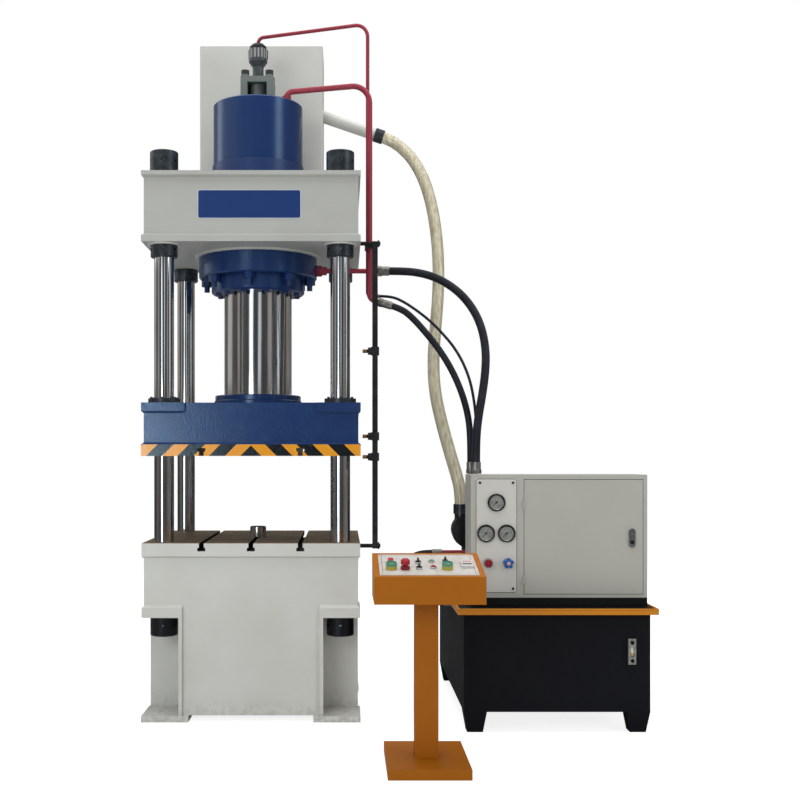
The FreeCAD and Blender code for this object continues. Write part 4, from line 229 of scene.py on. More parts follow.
# ---------------------------------------------------------------- base frame
# The lower beam is welded from thick plate and painted off-white; its table is machined, bare and
# oily, with three T-slots. Grime gathers near the floor.

def material(name, **sockets):
    """A new finish of one Principled shader, with its sockets set by name (an underscore for a
    space). Returns the finish, its node tree, the shader and the Object coordinates."""
    made = bpy.data.materials.new(name)
    made.use_nodes = True
    tree = made.node_tree
    tree.nodes.clear()
    values = {key.replace("_", " "): value for key, value in sockets.items()}
    shader = add(tree, "ShaderNodeBsdfPrincipled", values)
    add(tree, "ShaderNodeOutputMaterial", {"Surface": shader.outputs[0]})
    place = add(tree, "ShaderNodeTexCoord").outputs["Object"]
    return made, tree, shader, place


def patches(tree, place, size, low, high, most=1.0):
    """Soft patches about size metres across: a noise that gives 0 below low and most above high."""
    noise = add(tree, "ShaderNodeTexNoise", {"Vector": place, "Scale": 1 / size, "Detail": 5.0})
    return add(tree, "ShaderNodeMapRange", {"Value": noise.outputs[0], "From Min": low,
                                            "From Max": high, "To Max": most}).outputs[0]


def tone(tree, shader, place, size, colour, other, low=0.42, high=0.72, most=1.0):
    """Sets the shader's colour to one that turns into the other in soft patches."""
    amount = patches(tree, place, size, low, high, most)
    blend = add(tree, "ShaderNodeMix", {0: amount, 6: linear(colour), 7: linear(other)},
                data_type="RGBA")
    tree.links.new(blend.outputs[2], shader.inputs["Base Color"])


def dulled(tree, shader, place, size, smooth, rough):
    """Lets the roughness wander between two levels in patches about size metres across."""
    level = add(tree, "ShaderNodeMapRange", {"Value": patches(tree, place, size, 0.3, 0.75),
                                             "To Min": smooth, "To Max": rough})
    tree.links.new(level.outputs[0], shader.inputs["Roughness"])


def within(tree, value, low, high):
    """1 where the value lies between low and high, else 0: the product of two comparisons."""
    above = add(tree, "ShaderNodeMath", {0: value, 1: low}, operation="GREATER_THAN").outputs[0]
    below = add(tree, "ShaderNodeMath", {0: value, 1: high}, operation="LESS_THAN").outputs[0]
    return add(tree, "ShaderNodeMath", {0: above, 1: below}, operation="MULTIPLY").outputs[0]


def all_of(tree, *masks):
    """The product of masks: 1 only where each of them is."""
    product = masks[0]
    for mask in masks[1:]:
        product = add(tree, "ShaderNodeMath", {0: product, 1: mask},
                      operation="MULTIPLY").outputs[0]
    return product


def painted_over(tree, shader, mask, colour):
    """Gives the shader another colour where the mask is 1."""
    socket = shader.inputs["Base Color"]
    over = colour if isinstance(colour, bpy.types.NodeSocket) else linear(colour)
    blend = add(tree, "ShaderNodeMix", {0: mask, 6: socket.links[0].from_socket, 7: over},
                data_type="RGBA")
    tree.links.new(blend.outputs[2], socket)


def grained(tree, shader, place, size, depth, strength=1.0, detail=2.0):
    """Gives the shader's surface a grain of bumps about size metres across and depth high."""
    noise = add(tree, "ShaderNodeTexNoise", {"Vector": place, "Scale": 1 / size, "Detail": detail})
    bump = add(tree, "ShaderNodeBump", {"Height": noise.outputs[0], "Distance": depth,
                                        "Strength": strength})
    tree.links.new(bump.outputs[0], shader.inputs["Normal"])


def enamel(name, colour, dirt, peel=0.006, depth=0.0003, gloss=0.32, shine=0.35, most=0.25):
    """Brushed or sprayed paint on steel: a faint cloudy dirt film, an orange peel of that grain and
    depth in metres, and patches that are duller than the rest."""
    finish, tree, shader, place = material(name, Specular_IOR_Level=shine)
    tone(tree, shader, place, 0.35, colour, dirt, 0.42, 0.75, most)
    dulled(tree, shader, place, 0.09, gloss - 0.02, gloss + 0.06)
    grained(tree, shader, place, peel, depth)
    return finish, tree, shader, place


def soft_shading():
    """A geometry node group that merges a mesh's loose triangles and shades it smooth. An edge
    stays sharp where it turns by more than 32 degrees or more than two faces meet."""
    group = bpy.data.node_groups.new("soft_shading", "GeometryNodeTree")
    for direction in ("INPUT", "OUTPUT"):
        group.interface.new_socket("Geometry", in_out=direction, socket_type="NodeSocketGeometry")
    source = add(group, "NodeGroupInput")
    merged = add(group, "GeometryNodeMergeByDistance", {"Geometry": source.outputs[0],
                                                        "Distance": 1e-5})
    angle = add(group, "GeometryNodeInputMeshEdgeAngle").outputs[0]
    gentle = add(group, "FunctionNodeCompare", {0: angle, 1: math.radians(32)},
                 operation="LESS_THAN").outputs[0]
    faces_there = add(group, "GeometryNodeInputMeshEdgeNeighbors").outputs[0]
    simple = add(group, "FunctionNodeCompare", {0: faces_there, 1: 2.5},
                 operation="LESS_THAN").outputs[0]
    smooth = add(group, "FunctionNodeBooleanMath", {0: gentle, 1: simple},
                 operation="AND").outputs[0]
    faces = add(group, "GeometryNodeSetShadeSmooth", {"Geometry": merged.outputs[0]}, domain="FACE")
    edges = add(group, "GeometryNodeSetShadeSmooth", {"Geometry": faces.outputs[0],
                                                      "Shade Smooth": smooth}, domain="EDGE")
    add(group, "NodeGroupOutput", {0: edges.outputs[0]})
    return group


soft = soft_shading()


def dress(finish, *names):
    """Gives CAD nodes a finish of their own and smooth shading over their gentle edges."""
    for name in names:
        node = nodes[name]
        for slot in node.material_slots:
            slot.material = finish
        node.modifiers.new("soft shading", "NODES").node_group = soft
        node.modifiers.new("even normals", "WEIGHTED_NORMAL").keep_sharp = True


# White enamel: off-white, half gloss, greyed by handling. The crown's copy is painted a shade
# darker: painted shade for the dimmer light on the crown.
white_enamel = enamel("white_enamel", "#c0c1bb", "#a5a399")[0]
dress(white_enamel, "filling_tank", "fill_pipe")
dress(enamel("white_enamel_with_painted_shade_on_crown", "#abaca7", "#95938a")[0], "crown_frame")

# The same enamel on the base, with the bare machined table in oiled steel: brown from old oil,
# streaked from front to back by the cutter. Its slots are painted near black inside: painted shade.
base_enamel, tree, shader, place = enamel("base_enamel_and_table", "#c5c6c0", "#a8a497")
x, y, z = add(tree, "ShaderNodeSeparateXYZ", {0: place}).outputs
splash_top = 0.14
near_floor = add(tree, "ShaderNodeMapRange", {"Value": z, "From Min": splash_top, "From Max": 0.0})
splash = all_of(tree, near_floor.outputs[0], patches(tree, place, 0.03, 0.4, 0.75, 0.5))
painted_over(tree, shader, splash, "#6e6557")
table_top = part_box("base_frame")[1].z
table_half_y = 0.580
slot_pitch, slot_half, slot_depth = 0.285, 0.0235, 0.0465
# A mask stops or starts this far from a face that it should miss or take.
clear_of_face, clear_of_end = 0.0005, 0.0002
from_slot = add(tree, "ShaderNodeMath", {0: x, 1: slot_pitch / 2}, operation="PINGPONG").outputs[0]
in_slot = all_of(tree, within(tree, from_slot, -1, slot_half),
                 within(tree, z, table_top - slot_depth, table_top - 2 * clear_of_face),
                 within(tree, y, -table_half_y + clear_of_end, table_half_y - clear_of_end),
                 within(tree, x, -slot_pitch - slot_half, slot_pitch + slot_half))
face = within(tree, z, table_top - clear_of_face, table_top + clear_of_face)
bare = add(tree, "ShaderNodeMath", {0: face, 1: in_slot}, operation="MAXIMUM").outputs[0]
cutter = add(tree, "ShaderNodeMapping", {0: place, "Scale": (1.0, 0.05, 1.0)}).outputs[0]
oiled = add(tree, "ShaderNodeBsdfPrincipled", {"Metallic": 0.15, "Roughness": 0.5,
                                               "Specular IOR Level": 0.12})
tone(tree, oiled, place, 0.13, "#6a5740", "#87724f", 0.38, 0.72)
painted_over(tree, oiled, patches(tree, cutter, 0.012, 0.4, 0.7, 0.5), "#2f2920")
# Painted shade: near black inside the slots.
painted_over(tree, oiled, in_slot, "#131211")
surface = shader.outputs[0].links[0].to_socket
mixed = add(tree, "ShaderNodeMixShader", {0: bare, 1: shader.outputs[0], 2: oiled.outputs[0]})
tree.links.new(mixed.outputs[0], surface)
dress(base_enamel, "base_frame")


def closed_grid(name, points, finish, body="press", along=False, smooth=40,
                replaces=None):
    """A piece from an array of rows of points. Each row closes on itself, and the last row joins
    the first where along is true. Doubles are merged so that poles close, faces are turned
    outwards, and edges over smooth degrees stay sharp."""
    rows, columns = points.shape[:2]
    index = np.arange(rows * columns).reshape(rows, columns)
    index = np.concatenate([index, index[:, :1]], axis=1)
    if along:
        index = np.concatenate([index, index[:1]], axis=0)
    quads = np.stack([index[:-1, :-1], index[:-1, 1:], index[1:, 1:], index[1:, :-1]], axis=-1)
    mesh = bpy.data.meshes.new(name)
    mesh.from_pydata(points.reshape(-1, 3).tolist(), [], quads.reshape(-1, 4).tolist())
    working = bmesh.new()
    working.from_mesh(mesh)
    bmesh.ops.remove_doubles(working, verts=working.verts, dist=1e-6)
    bmesh.ops.dissolve_degenerate(working, edges=working.edges, dist=1e-7)
    bmesh.ops.recalc_face_normals(working, faces=working.faces)
    working.to_mesh(mesh)
    working.free()
    mesh.shade_smooth()
    mesh.set_sharp_from_angle(angle=math.radians(smooth))
    mesh.materials.append(finish)
    piece = bpy.data.objects.new(name, mesh)
    scene.collection.objects.link(piece)
    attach(piece, body)
    if replaces:
        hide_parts(replaces)
    return piece


def weld_bead(name, half_x, half_y, height, leg):
    """A fillet weld under a plate, round a box centred on the press: a bulging triangle whose two
    legs lie on the wall and the plate. The welder's ripples swell every other one of its points,
    which lie about 10 mm apart."""
    corners = np.array(((1, 1), (-1, 1), (-1, -1), (1, -1)), float)
    share = np.linspace(0, 1, 121)[:-1, None]
    sides = np.concatenate([(1 - share) * corners[k] + share * corners[(k + 1) % 4]
                            for k in range(4)])
    section = np.array(((-0.1, 0.1), (1, 0.1), (0.85, -0.35), (0.6, -0.62), (0.33, -0.86),
                        (-0.1, -1.0))) * leg
    ripple = 1 + 0.07 * np.cos(np.pi * np.arange(len(sides)))[:, None]
    out = section[None, :, 0] * ripple
    down = section[None, :, 1] * ripple
    points = np.stack([sides[:, :1] * (half_x + out), sides[:, 1:] * (half_y + out),
                       height + down], axis=-1)
    return closed_grid(name, points, white_enamel, along=True, smooth=70)


# Under the table's plate, round the box that carries it.
weld_bead("table_weld", half_x=0.62, half_y=0.56, height=0.955, leg=0.011)


# ---------------------------------------------------------------- columns, ram and nuts
# Four solid bars and the piston rod, ground and hard chrome plated: a mirror under a light film of
# oil that blurs it in patches. The ejector pin is plated too.
chrome, tree, shader, place = material("hard_chrome", Metallic=1.0)
runs = add(tree, "ShaderNodeMapping", {0: place, "Scale": (1.0, 1.0, 0.1)}).outputs[0]
tone(tree, shader, runs, 0.03, "#cccdcf", "#b3afa8", 0.45, 0.8)
dulled(tree, shader, runs, 0.05, 0.05, 0.13)
dress(chrome, "columns", "ram", "ejector_pin")


def blackened(name):
    """Turned and blackened steel: patchy dark grey, with turning rings about 3 mm apart."""
    finish, tree, shader, place = material(name, Metallic=0.7, Roughness=0.38)
    tone(tree, shader, place, 0.05, "#33393e", "#4b5156")
    rings = add(tree, "ShaderNodeMapping", {0: place, "Scale": (0.05, 0.05, 1.0)}).outputs[0]
    grained(tree, shader, rings, 0.003, 0.0003, 0.4, 1.0)
    return finish, tree, shader, place


black_steel, tree, shader, place = blackened("blackened_steel")
dulled(tree, shader, place, 0.03, 0.34, 0.5)
dress(black_steel, "guide_covers", "hose_clamps")

# The round nuts are blackened too, but the largest one, round the cylinder, is painted with it.
nut_finish, tree, shader, place = blackened("blackened_nuts_and_blue_nut")
blue_nut_reach = 0.42
flat = add(tree, "ShaderNodeVectorMath", {0: place, 1: (1.0, 1.0, 0.0)}, operation="MULTIPLY")
from_axis = add(tree, "ShaderNodeVectorMath", {0: flat.outputs[0]}, operation="LENGTH").outputs[1]
cylinder_nut = within(tree, from_axis, -1, blue_nut_reach)
painted_over(tree, shader, cylinder_nut, "#18305e")
nut_metal = add(tree, "ShaderNodeMapRange", {"Value": cylinder_nut, "To Min": 0.7, "To Max": 0.0})
tree.links.new(nut_metal.outputs[0], shader.inputs["Metallic"])
# The tommy-bar holes are painted near black, as painted shade inside them: they are what lies
# inside a nut's rim and between its two faces.
column_x, column_y = 0.515, 0.475
base_nut_low, base_nut_high, seat_nut_height, lock_nut_height = 0.487, 0.600, 0.080, 0.130
chamfer, rim_depth = 0.006, 0.0012
z = add(tree, "ShaderNodeSeparateXYZ", {0: place}).outputs["Z"]
from_column = add(tree, "ShaderNodeVectorMath", {
    0: add(tree, "ShaderNodeVectorMath", {0: flat.outputs[0]}, operation="ABSOLUTE").outputs[0],
    1: (column_x, column_y, 0.0)}, operation="DISTANCE").outputs["Value"]
crown_low, crown_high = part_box("crown_frame")
for low, high, radius in ((base_nut_low, base_nut_high, 0.080),
                          (crown_low.z - seat_nut_height, crown_low.z, 0.0785),
                          (crown_high.z, crown_high.z + lock_nut_height, 0.082)):
    shaded_hole = all_of(tree, within(tree, z, low + chamfer, high - chamfer),
                  within(tree, from_column, -1, radius - rim_depth))
    painted_over(tree, shader, shaded_hole, "#08090a")
# The base nuts stand in the base's pockets and are painted darker still: painted shade.
painted_over(tree, shader, within(tree, z, 0, base_nut_high), "#1c1f22")
dress(nut_finish, "round_nuts")


# ---------------------------------------------------------------- cylinder and slider
# The cylinder, its gland and the slider are painted deep blue over rough castings and plate, so
# the gloss breaks up; the slider's front edge carries a hazard band.
blue_enamel, tree, shader, place = enamel("blue_enamel", "#18305e", "#1f3864", peel=0.009,
                                          depth=0.0008, gloss=0.2, shine=0.55)
shader.inputs["Specular Tint"].default_value = (0.72, 0.9, 1.0, 1.0)
dress(blue_enamel, "main_cylinder", "cylinder_gland", "cylinder_fasteners", "ram_flange")

hazard_enamel, tree, shader, place = enamel("blue_enamel_with_hazard_band", "#172f5e", "#1e3763",
                                            peel=0.008, depth=0.0009, gloss=0.12, shine=0.85)
shader.inputs["Specular Tint"].default_value = (0.68, 0.88, 1.0, 1.0)
# Stripes at 45 degrees that meet in a point at the middle: the sum of the distance from the middle
# and the height above the band's lower edge, taken round again at every pitch.
x, y, z = add(tree, "ShaderNodeSeparateXYZ", {0: place}).outputs
slider_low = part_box("slider_frame")[0]
band_height, band_depth = 0.067, 0.0004
stripe_pitch, stripe_black, middle_black = 0.181, 0.093, 0.061
middle = add(tree, "ShaderNodeMath", {0: x}, operation="ABSOLUTE").outputs[0]
slanted = add(tree, "ShaderNodeMath", {0: middle, 1: z}, operation="ADD").outputs[0]
shifted = add(tree, "ShaderNodeMath", {0: slanted, 1: stripe_black - middle_black - slider_low.z},
              operation="ADD").outputs[0]
round_again = add(tree, "ShaderNodeMath", {0: shifted, 1: stripe_pitch},
                  operation="FLOORED_MODULO").outputs[0]
stripes = add(tree, "ShaderNodeMix", {0: within(tree, round_again, -1, stripe_black),
                                      6: linear("#e0951a"), 7: linear("#0c0d10")},
              data_type="RGBA").outputs[2]
on_band = all_of(tree, within(tree, y, slider_low.y - clear_of_face, slider_low.y + band_depth),
                 within(tree, z, slider_low.z - clear_of_face, slider_low.z + band_height))
painted_over(tree, shader, on_band, stripes)
# Painted shade: the slots in the slider's underside are near black inside.
from_slot = add(tree, "ShaderNodeMath", {0: x, 1: slot_pitch}, operation="PINGPONG").outputs[0]
in_slot = all_of(tree, within(tree, from_slot, slot_pitch - slot_half, slot_pitch + slot_half),
                 within(tree, z, slider_low.z + 2 * clear_of_face, slider_low.z + slot_depth),
                 within(tree, y, slider_low.y + clear_of_face, -slider_low.y - clear_of_face))
painted_over(tree, shader, in_slot, "#0d0d0e")
dress(hazard_enamel, "slider_frame")


# ---------------------------------------------------------------- seats under the crown
# The crown's underside has raised seats, machined flat, for the cylinder's flange and the nuts.
# They show as pale rings round the flange and the two front nuts.

def revolved(profile, sides=48):
    """Rows of points for a turned piece about Z, from its (radius, height) profile; a first or
    last radius of 0 closes it."""
    turn = np.linspace(0, 2 * np.pi, sides, endpoint=False)
    return np.stack([np.stack([radius * np.cos(turn), radius * np.sin(turn),
                               np.full(sides, height)], axis=-1) for radius, height in profile])


seat_height, seat_chamfer = 0.010, 0.002
for name, x, y, inner, outer, sides in (
        ("flange_seat", 0.0, 0.0, 0.3675, 0.393, 96),
        ("nut_seat_front_left", -column_x, -column_y, 0.0795, 0.098, 48),
        ("nut_seat_front_right", column_x, -column_y, 0.0795, 0.098, 48)):
    seat = revolved(((inner, 0), (inner, -seat_height), (outer - seat_chamfer, -seat_height),
                     (outer, seat_chamfer - seat_height), (outer, 0)), sides)
    closed_grid(name, seat + np.array((x, y, crown_low.z)), white_enamel,
                along=True, smooth=30)


# ---------------------------------------------------------------- name plate
# A blue sheet-metal plate with round corners is glued to the crown's front; it is left bare. A
# pale edge shows where its paint stops.

def plate_rows(width, height, corner, profile, steps=8):
    """Rows of points for a plate with round corners in the XY plane: for each (inset, level) of
    its profile a rim drawn in by the inset, and its middle before the first and after the last."""
    turn = np.linspace(0, np.pi / 2, steps)
    quarter = (np.arange(4)[:, None] * np.pi / 2 + turn[None]).ravel()
    middle = np.repeat(np.array(((1, 1), (-1, 1), (-1, -1), (1, -1))), steps, axis=0)
    middle = middle * (np.array((width, height)) / 2 - corner)
    rows = []
    for inset, level in profile:
        rim = middle + (corner - inset) * np.stack([np.cos(quarter), np.sin(quarter)], axis=-1)
        rows.append(np.concatenate([rim, np.full((len(rim), 1), level)], axis=1))
    ends = [np.tile((0.0, 0.0, profile[at][1]), (4 * steps, 1)) for at in (0, -1)]
    return np.stack([ends[0], *rows, ends[1]])


def facing_front(points, x, y, z):
    """Turns points drawn in the XY plane with +Z outwards so that they face -Y, at a point."""
    return points @ np.array(((1.0, 0, 0), (0, 0, 1), (0, -1, 0))) + np.array((x, y, z))


def inset_from_rim(tree, place, centre, half_size, corner):
    """How far a point lies inside a rectangle with round corners: the corner's radius less the
    length of the part of |place - centre| past the corners' middles. A direction whose half size
    is 0 is left out."""
    out_of_reach = 1e3
    reach = [half - corner if half else out_of_reach for half in half_size]
    past = place
    for operation, other in (("SUBTRACT", centre), ("ABSOLUTE", (0, 0, 0)), ("SUBTRACT", reach),
                             ("MAXIMUM", (0, 0, 0))):
        past = add(tree, "ShaderNodeVectorMath", {0: past, 1: other},
                   operation=operation).outputs[0]
    length = add(tree, "ShaderNodeVectorMath", {0: past}, operation="LENGTH").outputs["Value"]
    return add(tree, "ShaderNodeMath", {0: corner, 1: length}, operation="SUBTRACT").outputs[0]


crown_front = -0.56
plate_x, plate_z, plate_width, plate_height, plate_corner = -0.010, 2.988, 0.597, 0.167, 0.014
pale_edge = 0.0035
plate_blue, tree, shader, place = enamel("name_plate_blue", "#1e376b", "#253f74", gloss=0.3,
                                         shine=0.15)
rim = inset_from_rim(tree, place, (plate_x, 0, plate_z), (plate_width / 2, 0, plate_height / 2),
                     plate_corner)
painted_over(tree, shader, within(tree, rim, -1, pale_edge), "#c6cbd2")
plate = plate_rows(plate_width, plate_height, plate_corner, ((0, 0), (0, 0.0022), (0.0008, 0.003)))
closed_grid("name_plate", facing_front(plate, plate_x, crown_front, plate_z), plate_blue,
            smooth=30)


# ---------------------------------------------------------------- prefill valve
# The prefill valve's yoke is a grey casting held by black cap nuts; the coupling above it has a
# knurled union nut in pale steel, with painted shade in its grooves, between blackened ends.
yoke_finish, tree, shader, place = enamel("grey_casting_and_cap_nuts", "#6a716d", "#525855",
                                          peel=0.005, depth=0.0008, gloss=0.42)
z = add(tree, "ShaderNodeSeparateXYZ", {0: place}).outputs["Z"]
yoke_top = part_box("prefill_yoke")[1].z
cap_nut_height = 0.028
painted_over(tree, shader, within(tree, z, yoke_top - cap_nut_height, yoke_top + 0.001), "#2d3235")
dress(yoke_finish, "prefill_yoke")

coupling, tree, shader, place = material("blackened_and_knurled_steel", Metallic=0.5,
                                         Roughness=0.42)
tone(tree, shader, place, 0.03, "#4a4f52", "#5d6264", 0.4, 0.7)
x, y, z = add(tree, "ShaderNodeSeparateXYZ", {0: place}).outputs
valve_low, valve_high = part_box("prefill_valve")
stem_top, nut_low, nut_high, tooth_count = 3.86, 4.013, 4.072, 16
knurled = within(tree, z, nut_low, nut_high)
painted_over(tree, shader, knurled, "#a0a3a2")
painted_over(tree, shader, within(tree, z, nut_high, valve_high.z + 0.001), "#2a2d2f")
painted_over(tree, shader, within(tree, z, valve_low.z - 0.001, stem_top), "#7d8280")
angle = add(tree, "ShaderNodeMath", {0: y, 1: x}, operation="ARCTAN2").outputs[0]
teeth = add(tree, "ShaderNodeMath", {0: angle, 1: tooth_count}, operation="MULTIPLY").outputs[0]
wave = add(tree, "ShaderNodeMath", {0: teeth}, operation="SINE").outputs[0]
# Painted shade: the knurl's grooves are painted darker than its ridges.
painted_over(tree, shader, all_of(tree, knurled, within(tree, wave, -2, -0.2)), "#55595b")
bump = add(tree, "ShaderNodeBump", {"Height": all_of(tree, wave, knurled), "Distance": 0.003})
tree.links.new(bump.outputs[0], shader.inputs["Normal"])
dress(coupling, "prefill_valve")


# ---------------------------------------------------------------- pipes and hose ends
# Steel pipes bent cold and painted crimson, with their union nuts painted over. The crimped hose
# ends are zinc plated.
red_paint = enamel("crimson_pipe_paint", "#8f2b3b", "#6f2531", peel=0.004, gloss=0.28, shine=0.5,
                   most=0.5)[0]
dress(red_paint, "press_pipes", "unit_pipes")

zinc, tree, shader, place = material("zinc_plate", Metallic=0.85)
tone(tree, shader, place, 0.02, "#9c9c99", "#7f7a6c")
dulled(tree, shader, place, 0.01, 0.28, 0.45)
rings = add(tree, "ShaderNodeMapping", {0: place, "Scale": (0.1, 0.1, 1.0)}).outputs[0]
grained(tree, shader, rings, 0.0055, 0.0012, 0.6, 0.0)
dress(zinc, "hose_ends")


# ---------------------------------------------------------------- rail and limit switches
# A flat steel bar stands beside the press on two rods and carries the switches: black moulded
# bodies with brass tips. The bar is mill-finished steel, dark with oil.
rail_steel, tree, shader, place = material("oiled_bar_steel", Metallic=0.5, Roughness=0.45,
                                           Specular_IOR_Level=0.3)
tone(tree, shader, place, 0.06, "#202324", "#333432")
grained(tree, shader, place, 0.011, 0.0006, 0.5)
dress(rail_steel, "switch_rail")

switch_body, tree, shader, place = material("black_plastic_and_brass", Specular_IOR_Level=0.35)
tone(tree, shader, place, 0.02, "#141518", "#26282b")
x = add(tree, "ShaderNodeSeparateXYZ", {0: place}).outputs["X"]
switch_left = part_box("limit_switches")[0].x
tip_length = 0.024
brass_tip = within(tree, x, switch_left - 0.001, switch_left + tip_length)
painted_over(tree, shader, brass_tip, "#a5784a")
tree.links.new(brass_tip, shader.inputs["Metallic"])
dulled(tree, shader, place, 0.01, 0.35, 0.5)
dress(switch_body, "limit_switches")


# ---------------------------------------------------------------- oil tank and lid
# The tank is folded and welded sheet in black enamel; its lid is a shallow tray, orange outside
# with a glossy black floor. A sight glass shows the oil's level.
black_enamel = enamel("black_tank_enamel", "#121317", "#17181b", gloss=0.68, shine=0.1, most=0.5)[0]
dress(black_enamel, "oil_tank")

lid_finish, tree, shader, place = enamel("orange_lid_with_black_floor", "#c27a18", "#a06013",
                                         peel=0.003, depth=0.0002, gloss=0.42, shine=0.25)
z = add(tree, "ShaderNodeSeparateXYZ", {0: place}).outputs["Z"]
tray_depth = 0.008
tray_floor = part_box("tank_lid")[1].z - tray_depth
on_floor = within(tree, z, tray_floor - clear_of_face, tray_floor + clear_of_face)
painted_over(tree, shader, on_floor, "#030304")
dress(lid_finish, "tank_lid")

gauge_body, tree, shader, place = material("die_cast_sight_gauge", Metallic=0.9, Roughness=0.3)
tone(tree, shader, place, 0.02, "#b9bab8", "#8d8c86")
level_low, level_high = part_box("level_gauge")
screw_height = 0.0075
y = add(tree, "ShaderNodeSeparateXYZ", {0: place}).outputs["Y"]
screws = within(tree, y, level_low.y - 0.001, level_low.y + screw_height)
painted_over(tree, shader, screws, "#1c1d1f")
dress(gauge_body, "level_gauge")

sight_glass, tree, shader, place = material("acrylic_sight_glass", Roughness=0.12, IOR=1.49,
                                            Transmission_Weight=0.3, Coat_Weight=0.5)
tone(tree, shader, place, 0.03, "#e2e0d2", "#cfc9ae")
oil_low, oil_high = 0.425, 0.446
z = add(tree, "ShaderNodeSeparateXYZ", {0: place}).outputs["Z"]
painted_over(tree, shader, within(tree, z, oil_low, oil_high), "#c0a350")
glass_width, glass_height, glass_corner, glass_back = 0.0186, 0.0556, 0.009, -0.8505
tube = plate_rows(glass_width, glass_height, glass_corner,
                  ((0, 0), (0, 0.006), (0.002, 0.0085), (0.005, 0.0095)))
closed_grid("sight_glass_tube", facing_front(tube, (level_low.x + level_high.x) / 2, glass_back,
                                             (level_low.z + level_high.z) / 2),
            sight_glass, smooth=60)


# ---------------------------------------------------------------- machinery
# The valve block is milled steel. The ejector cylinder, motor and pump are castings in grey
# enamel, and the return filter is black.
bright_steel, tree, shader, place = material("milled_steel", Metallic=1.0, Roughness=0.3)
tone(tree, shader, place, 0.03, "#a09d98", "#7d766c")
cutter = add(tree, "ShaderNodeMapping", {0: place, "Scale": (1.0, 1.0, 0.05)}).outputs[0]
grained(tree, shader, cutter, 0.0025, 0.0002, 0.4, 1.0)
dress(bright_steel, "valve_block")

machine_grey = enamel("machine_grey_enamel", "#565c5f", "#43474a", peel=0.005, depth=0.0006,
                      gloss=0.38)[0]
dress(machine_grey, "ejector_cylinder", "motor", "pump")
black_gloss = enamel("black_filter_enamel", "#111317", "#24262b", peel=0.004, gloss=0.2,
                     shine=0.7)[0]
dress(black_gloss, "return_filter")


# ---------------------------------------------------------------- valve cabinet
# The cabinet is folded sheet in warm grey powder coat, with a fine texture that stops it shining;
# below its front the shell is painted near black, for dark supports and the painted shade under it.
# A rubber seal in a folded gutter runs round the door's opening.

def grey_powder_coat(name):
    """Warm grey powder coat with a fine texture."""
    return enamel(name, "#abaaa2", "#9b9990", peel=0.0025, depth=0.0003, gloss=0.5, shine=0.3)


dress(grey_powder_coat("grey_powder_coat")[0], "cabinet_front", "cabinet_door")
shell_coat, tree, shader, place = grey_powder_coat("grey_powder_coat_over_dark_base_and_painted_shade")
front_low, front_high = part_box("cabinet_front")
z = add(tree, "ShaderNodeSeparateXYZ", {0: place}).outputs["Z"]
# Painted shade: near black below the front, for the dark supports and the gap under the cabinet.
painted_over(tree, shader, within(tree, z, 0, front_low.z), "#090a0c")
dress(shell_coat, "cabinet_shell")

# The gauge panel is a plate of its own, with black screws and a dark line near its rim.
panel_coat, tree, shader, place = enamel("grey_panel_with_dark_rim", "#c4c2bc", "#b7b5ad",
                                         peel=0.0025, depth=0.0002, gloss=0.45, shine=0.3)
panel_low, panel_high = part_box("gauge_panel")
panel_size = panel_high - panel_low
panel_corner, line_start, line_end, panel_screw_height = 0.016, 0.001, 0.0045, 0.0045
rim = inset_from_rim(tree, place, (panel_low + panel_high) / 2,
                     (panel_size.x / 2, 0, panel_size.z / 2), panel_corner)
painted_over(tree, shader, within(tree, rim, line_start, line_end), "#4a4a47")
painted_over(tree, shader, within(tree, rim, -1, line_start), "#c9c8c3")
y = add(tree, "ShaderNodeSeparateXYZ", {0: place}).outputs["Y"]
screws = within(tree, y, panel_low.y - 0.001, panel_low.y + panel_screw_height)
painted_over(tree, shader, screws, "#17181a")
dress(panel_coat, "gauge_panel")

door_seal, tree, shader, place = material("black_foam_seal", Roughness=0.8, Specular_IOR_Level=0.2)
tone(tree, shader, place, 0.01, "#0e0f10", "#1c1d1e")
door_x, door_z, door_width, door_height = 1.890, 1.0765, 0.670, 0.645
gutter = np.array(((0.012, 0.0005), (0.012, -0.023), (-0.008, -0.023), (-0.008, -0.0165),
                   (0.006, -0.0165), (0.006, 0.0005)))
corners = np.array(((1, 1), (-1, 1), (-1, -1), (1, -1)), float)
points = np.stack([corners[:, :1] * (door_width / 2 + gutter[None, :, 0]),
                   corners[:, 1:] * (door_height / 2 + gutter[None, :, 0]),
                   np.repeat(gutter[None, :, 1], 4, axis=0)], axis=-1)
closed_grid("door_seal", facing_front(points, door_x, front_high.y, door_z), door_seal,
            along=True, smooth=30)

lock_chrome, tree, shader, place = material("chromed_die_casting", Metallic=1.0)
tone(tree, shader, place, 0.02, "#c4c6c8", "#a9abac")
dulled(tree, shader, place, 0.01, 0.12, 0.25)
dress(lock_chrome, "door_lock")


# ---------------------------------------------------------------- gauges and knobs
# Three glycerine gauges sit in the panel: black polished rims, a chromed inner ring, a dial with
# printed ticks and numbers, its paper darkened by painted shade, and a glass. Below them two valve
# stems with knobs come out of collars of satin aluminium.
case_finish, tree, shader, place = material("polished_black_rim", Roughness=0.25, Metallic=0.3)
tone(tree, shader, place, 0.02, "#131416", "#26282b")
collars_top = 1.0
z = add(tree, "ShaderNodeSeparateXYZ", {0: place}).outputs["Z"]
painted_over(tree, shader, within(tree, z, 0, collars_top), "#b9b7b2")
dress(case_finish, "gauge_cases")

# A clean flat pane: its IOR is set low so that the room hardly shows in it.
glass, tree, shader, place = material("gauge_glass", IOR=1.2, Roughness=0.02,
                                      Transmission_Weight=1.0)
tone(tree, shader, place, 0.05, "#ffffff", "#f2f6f4")
dress(glass, "gauge_glasses")

inner_ring, tree, shader, place = material("chromed_inner_ring", Metallic=1.0, Roughness=0.15)
tone(tree, shader, place, 0.02, "#c8cacc", "#a2a4a6")
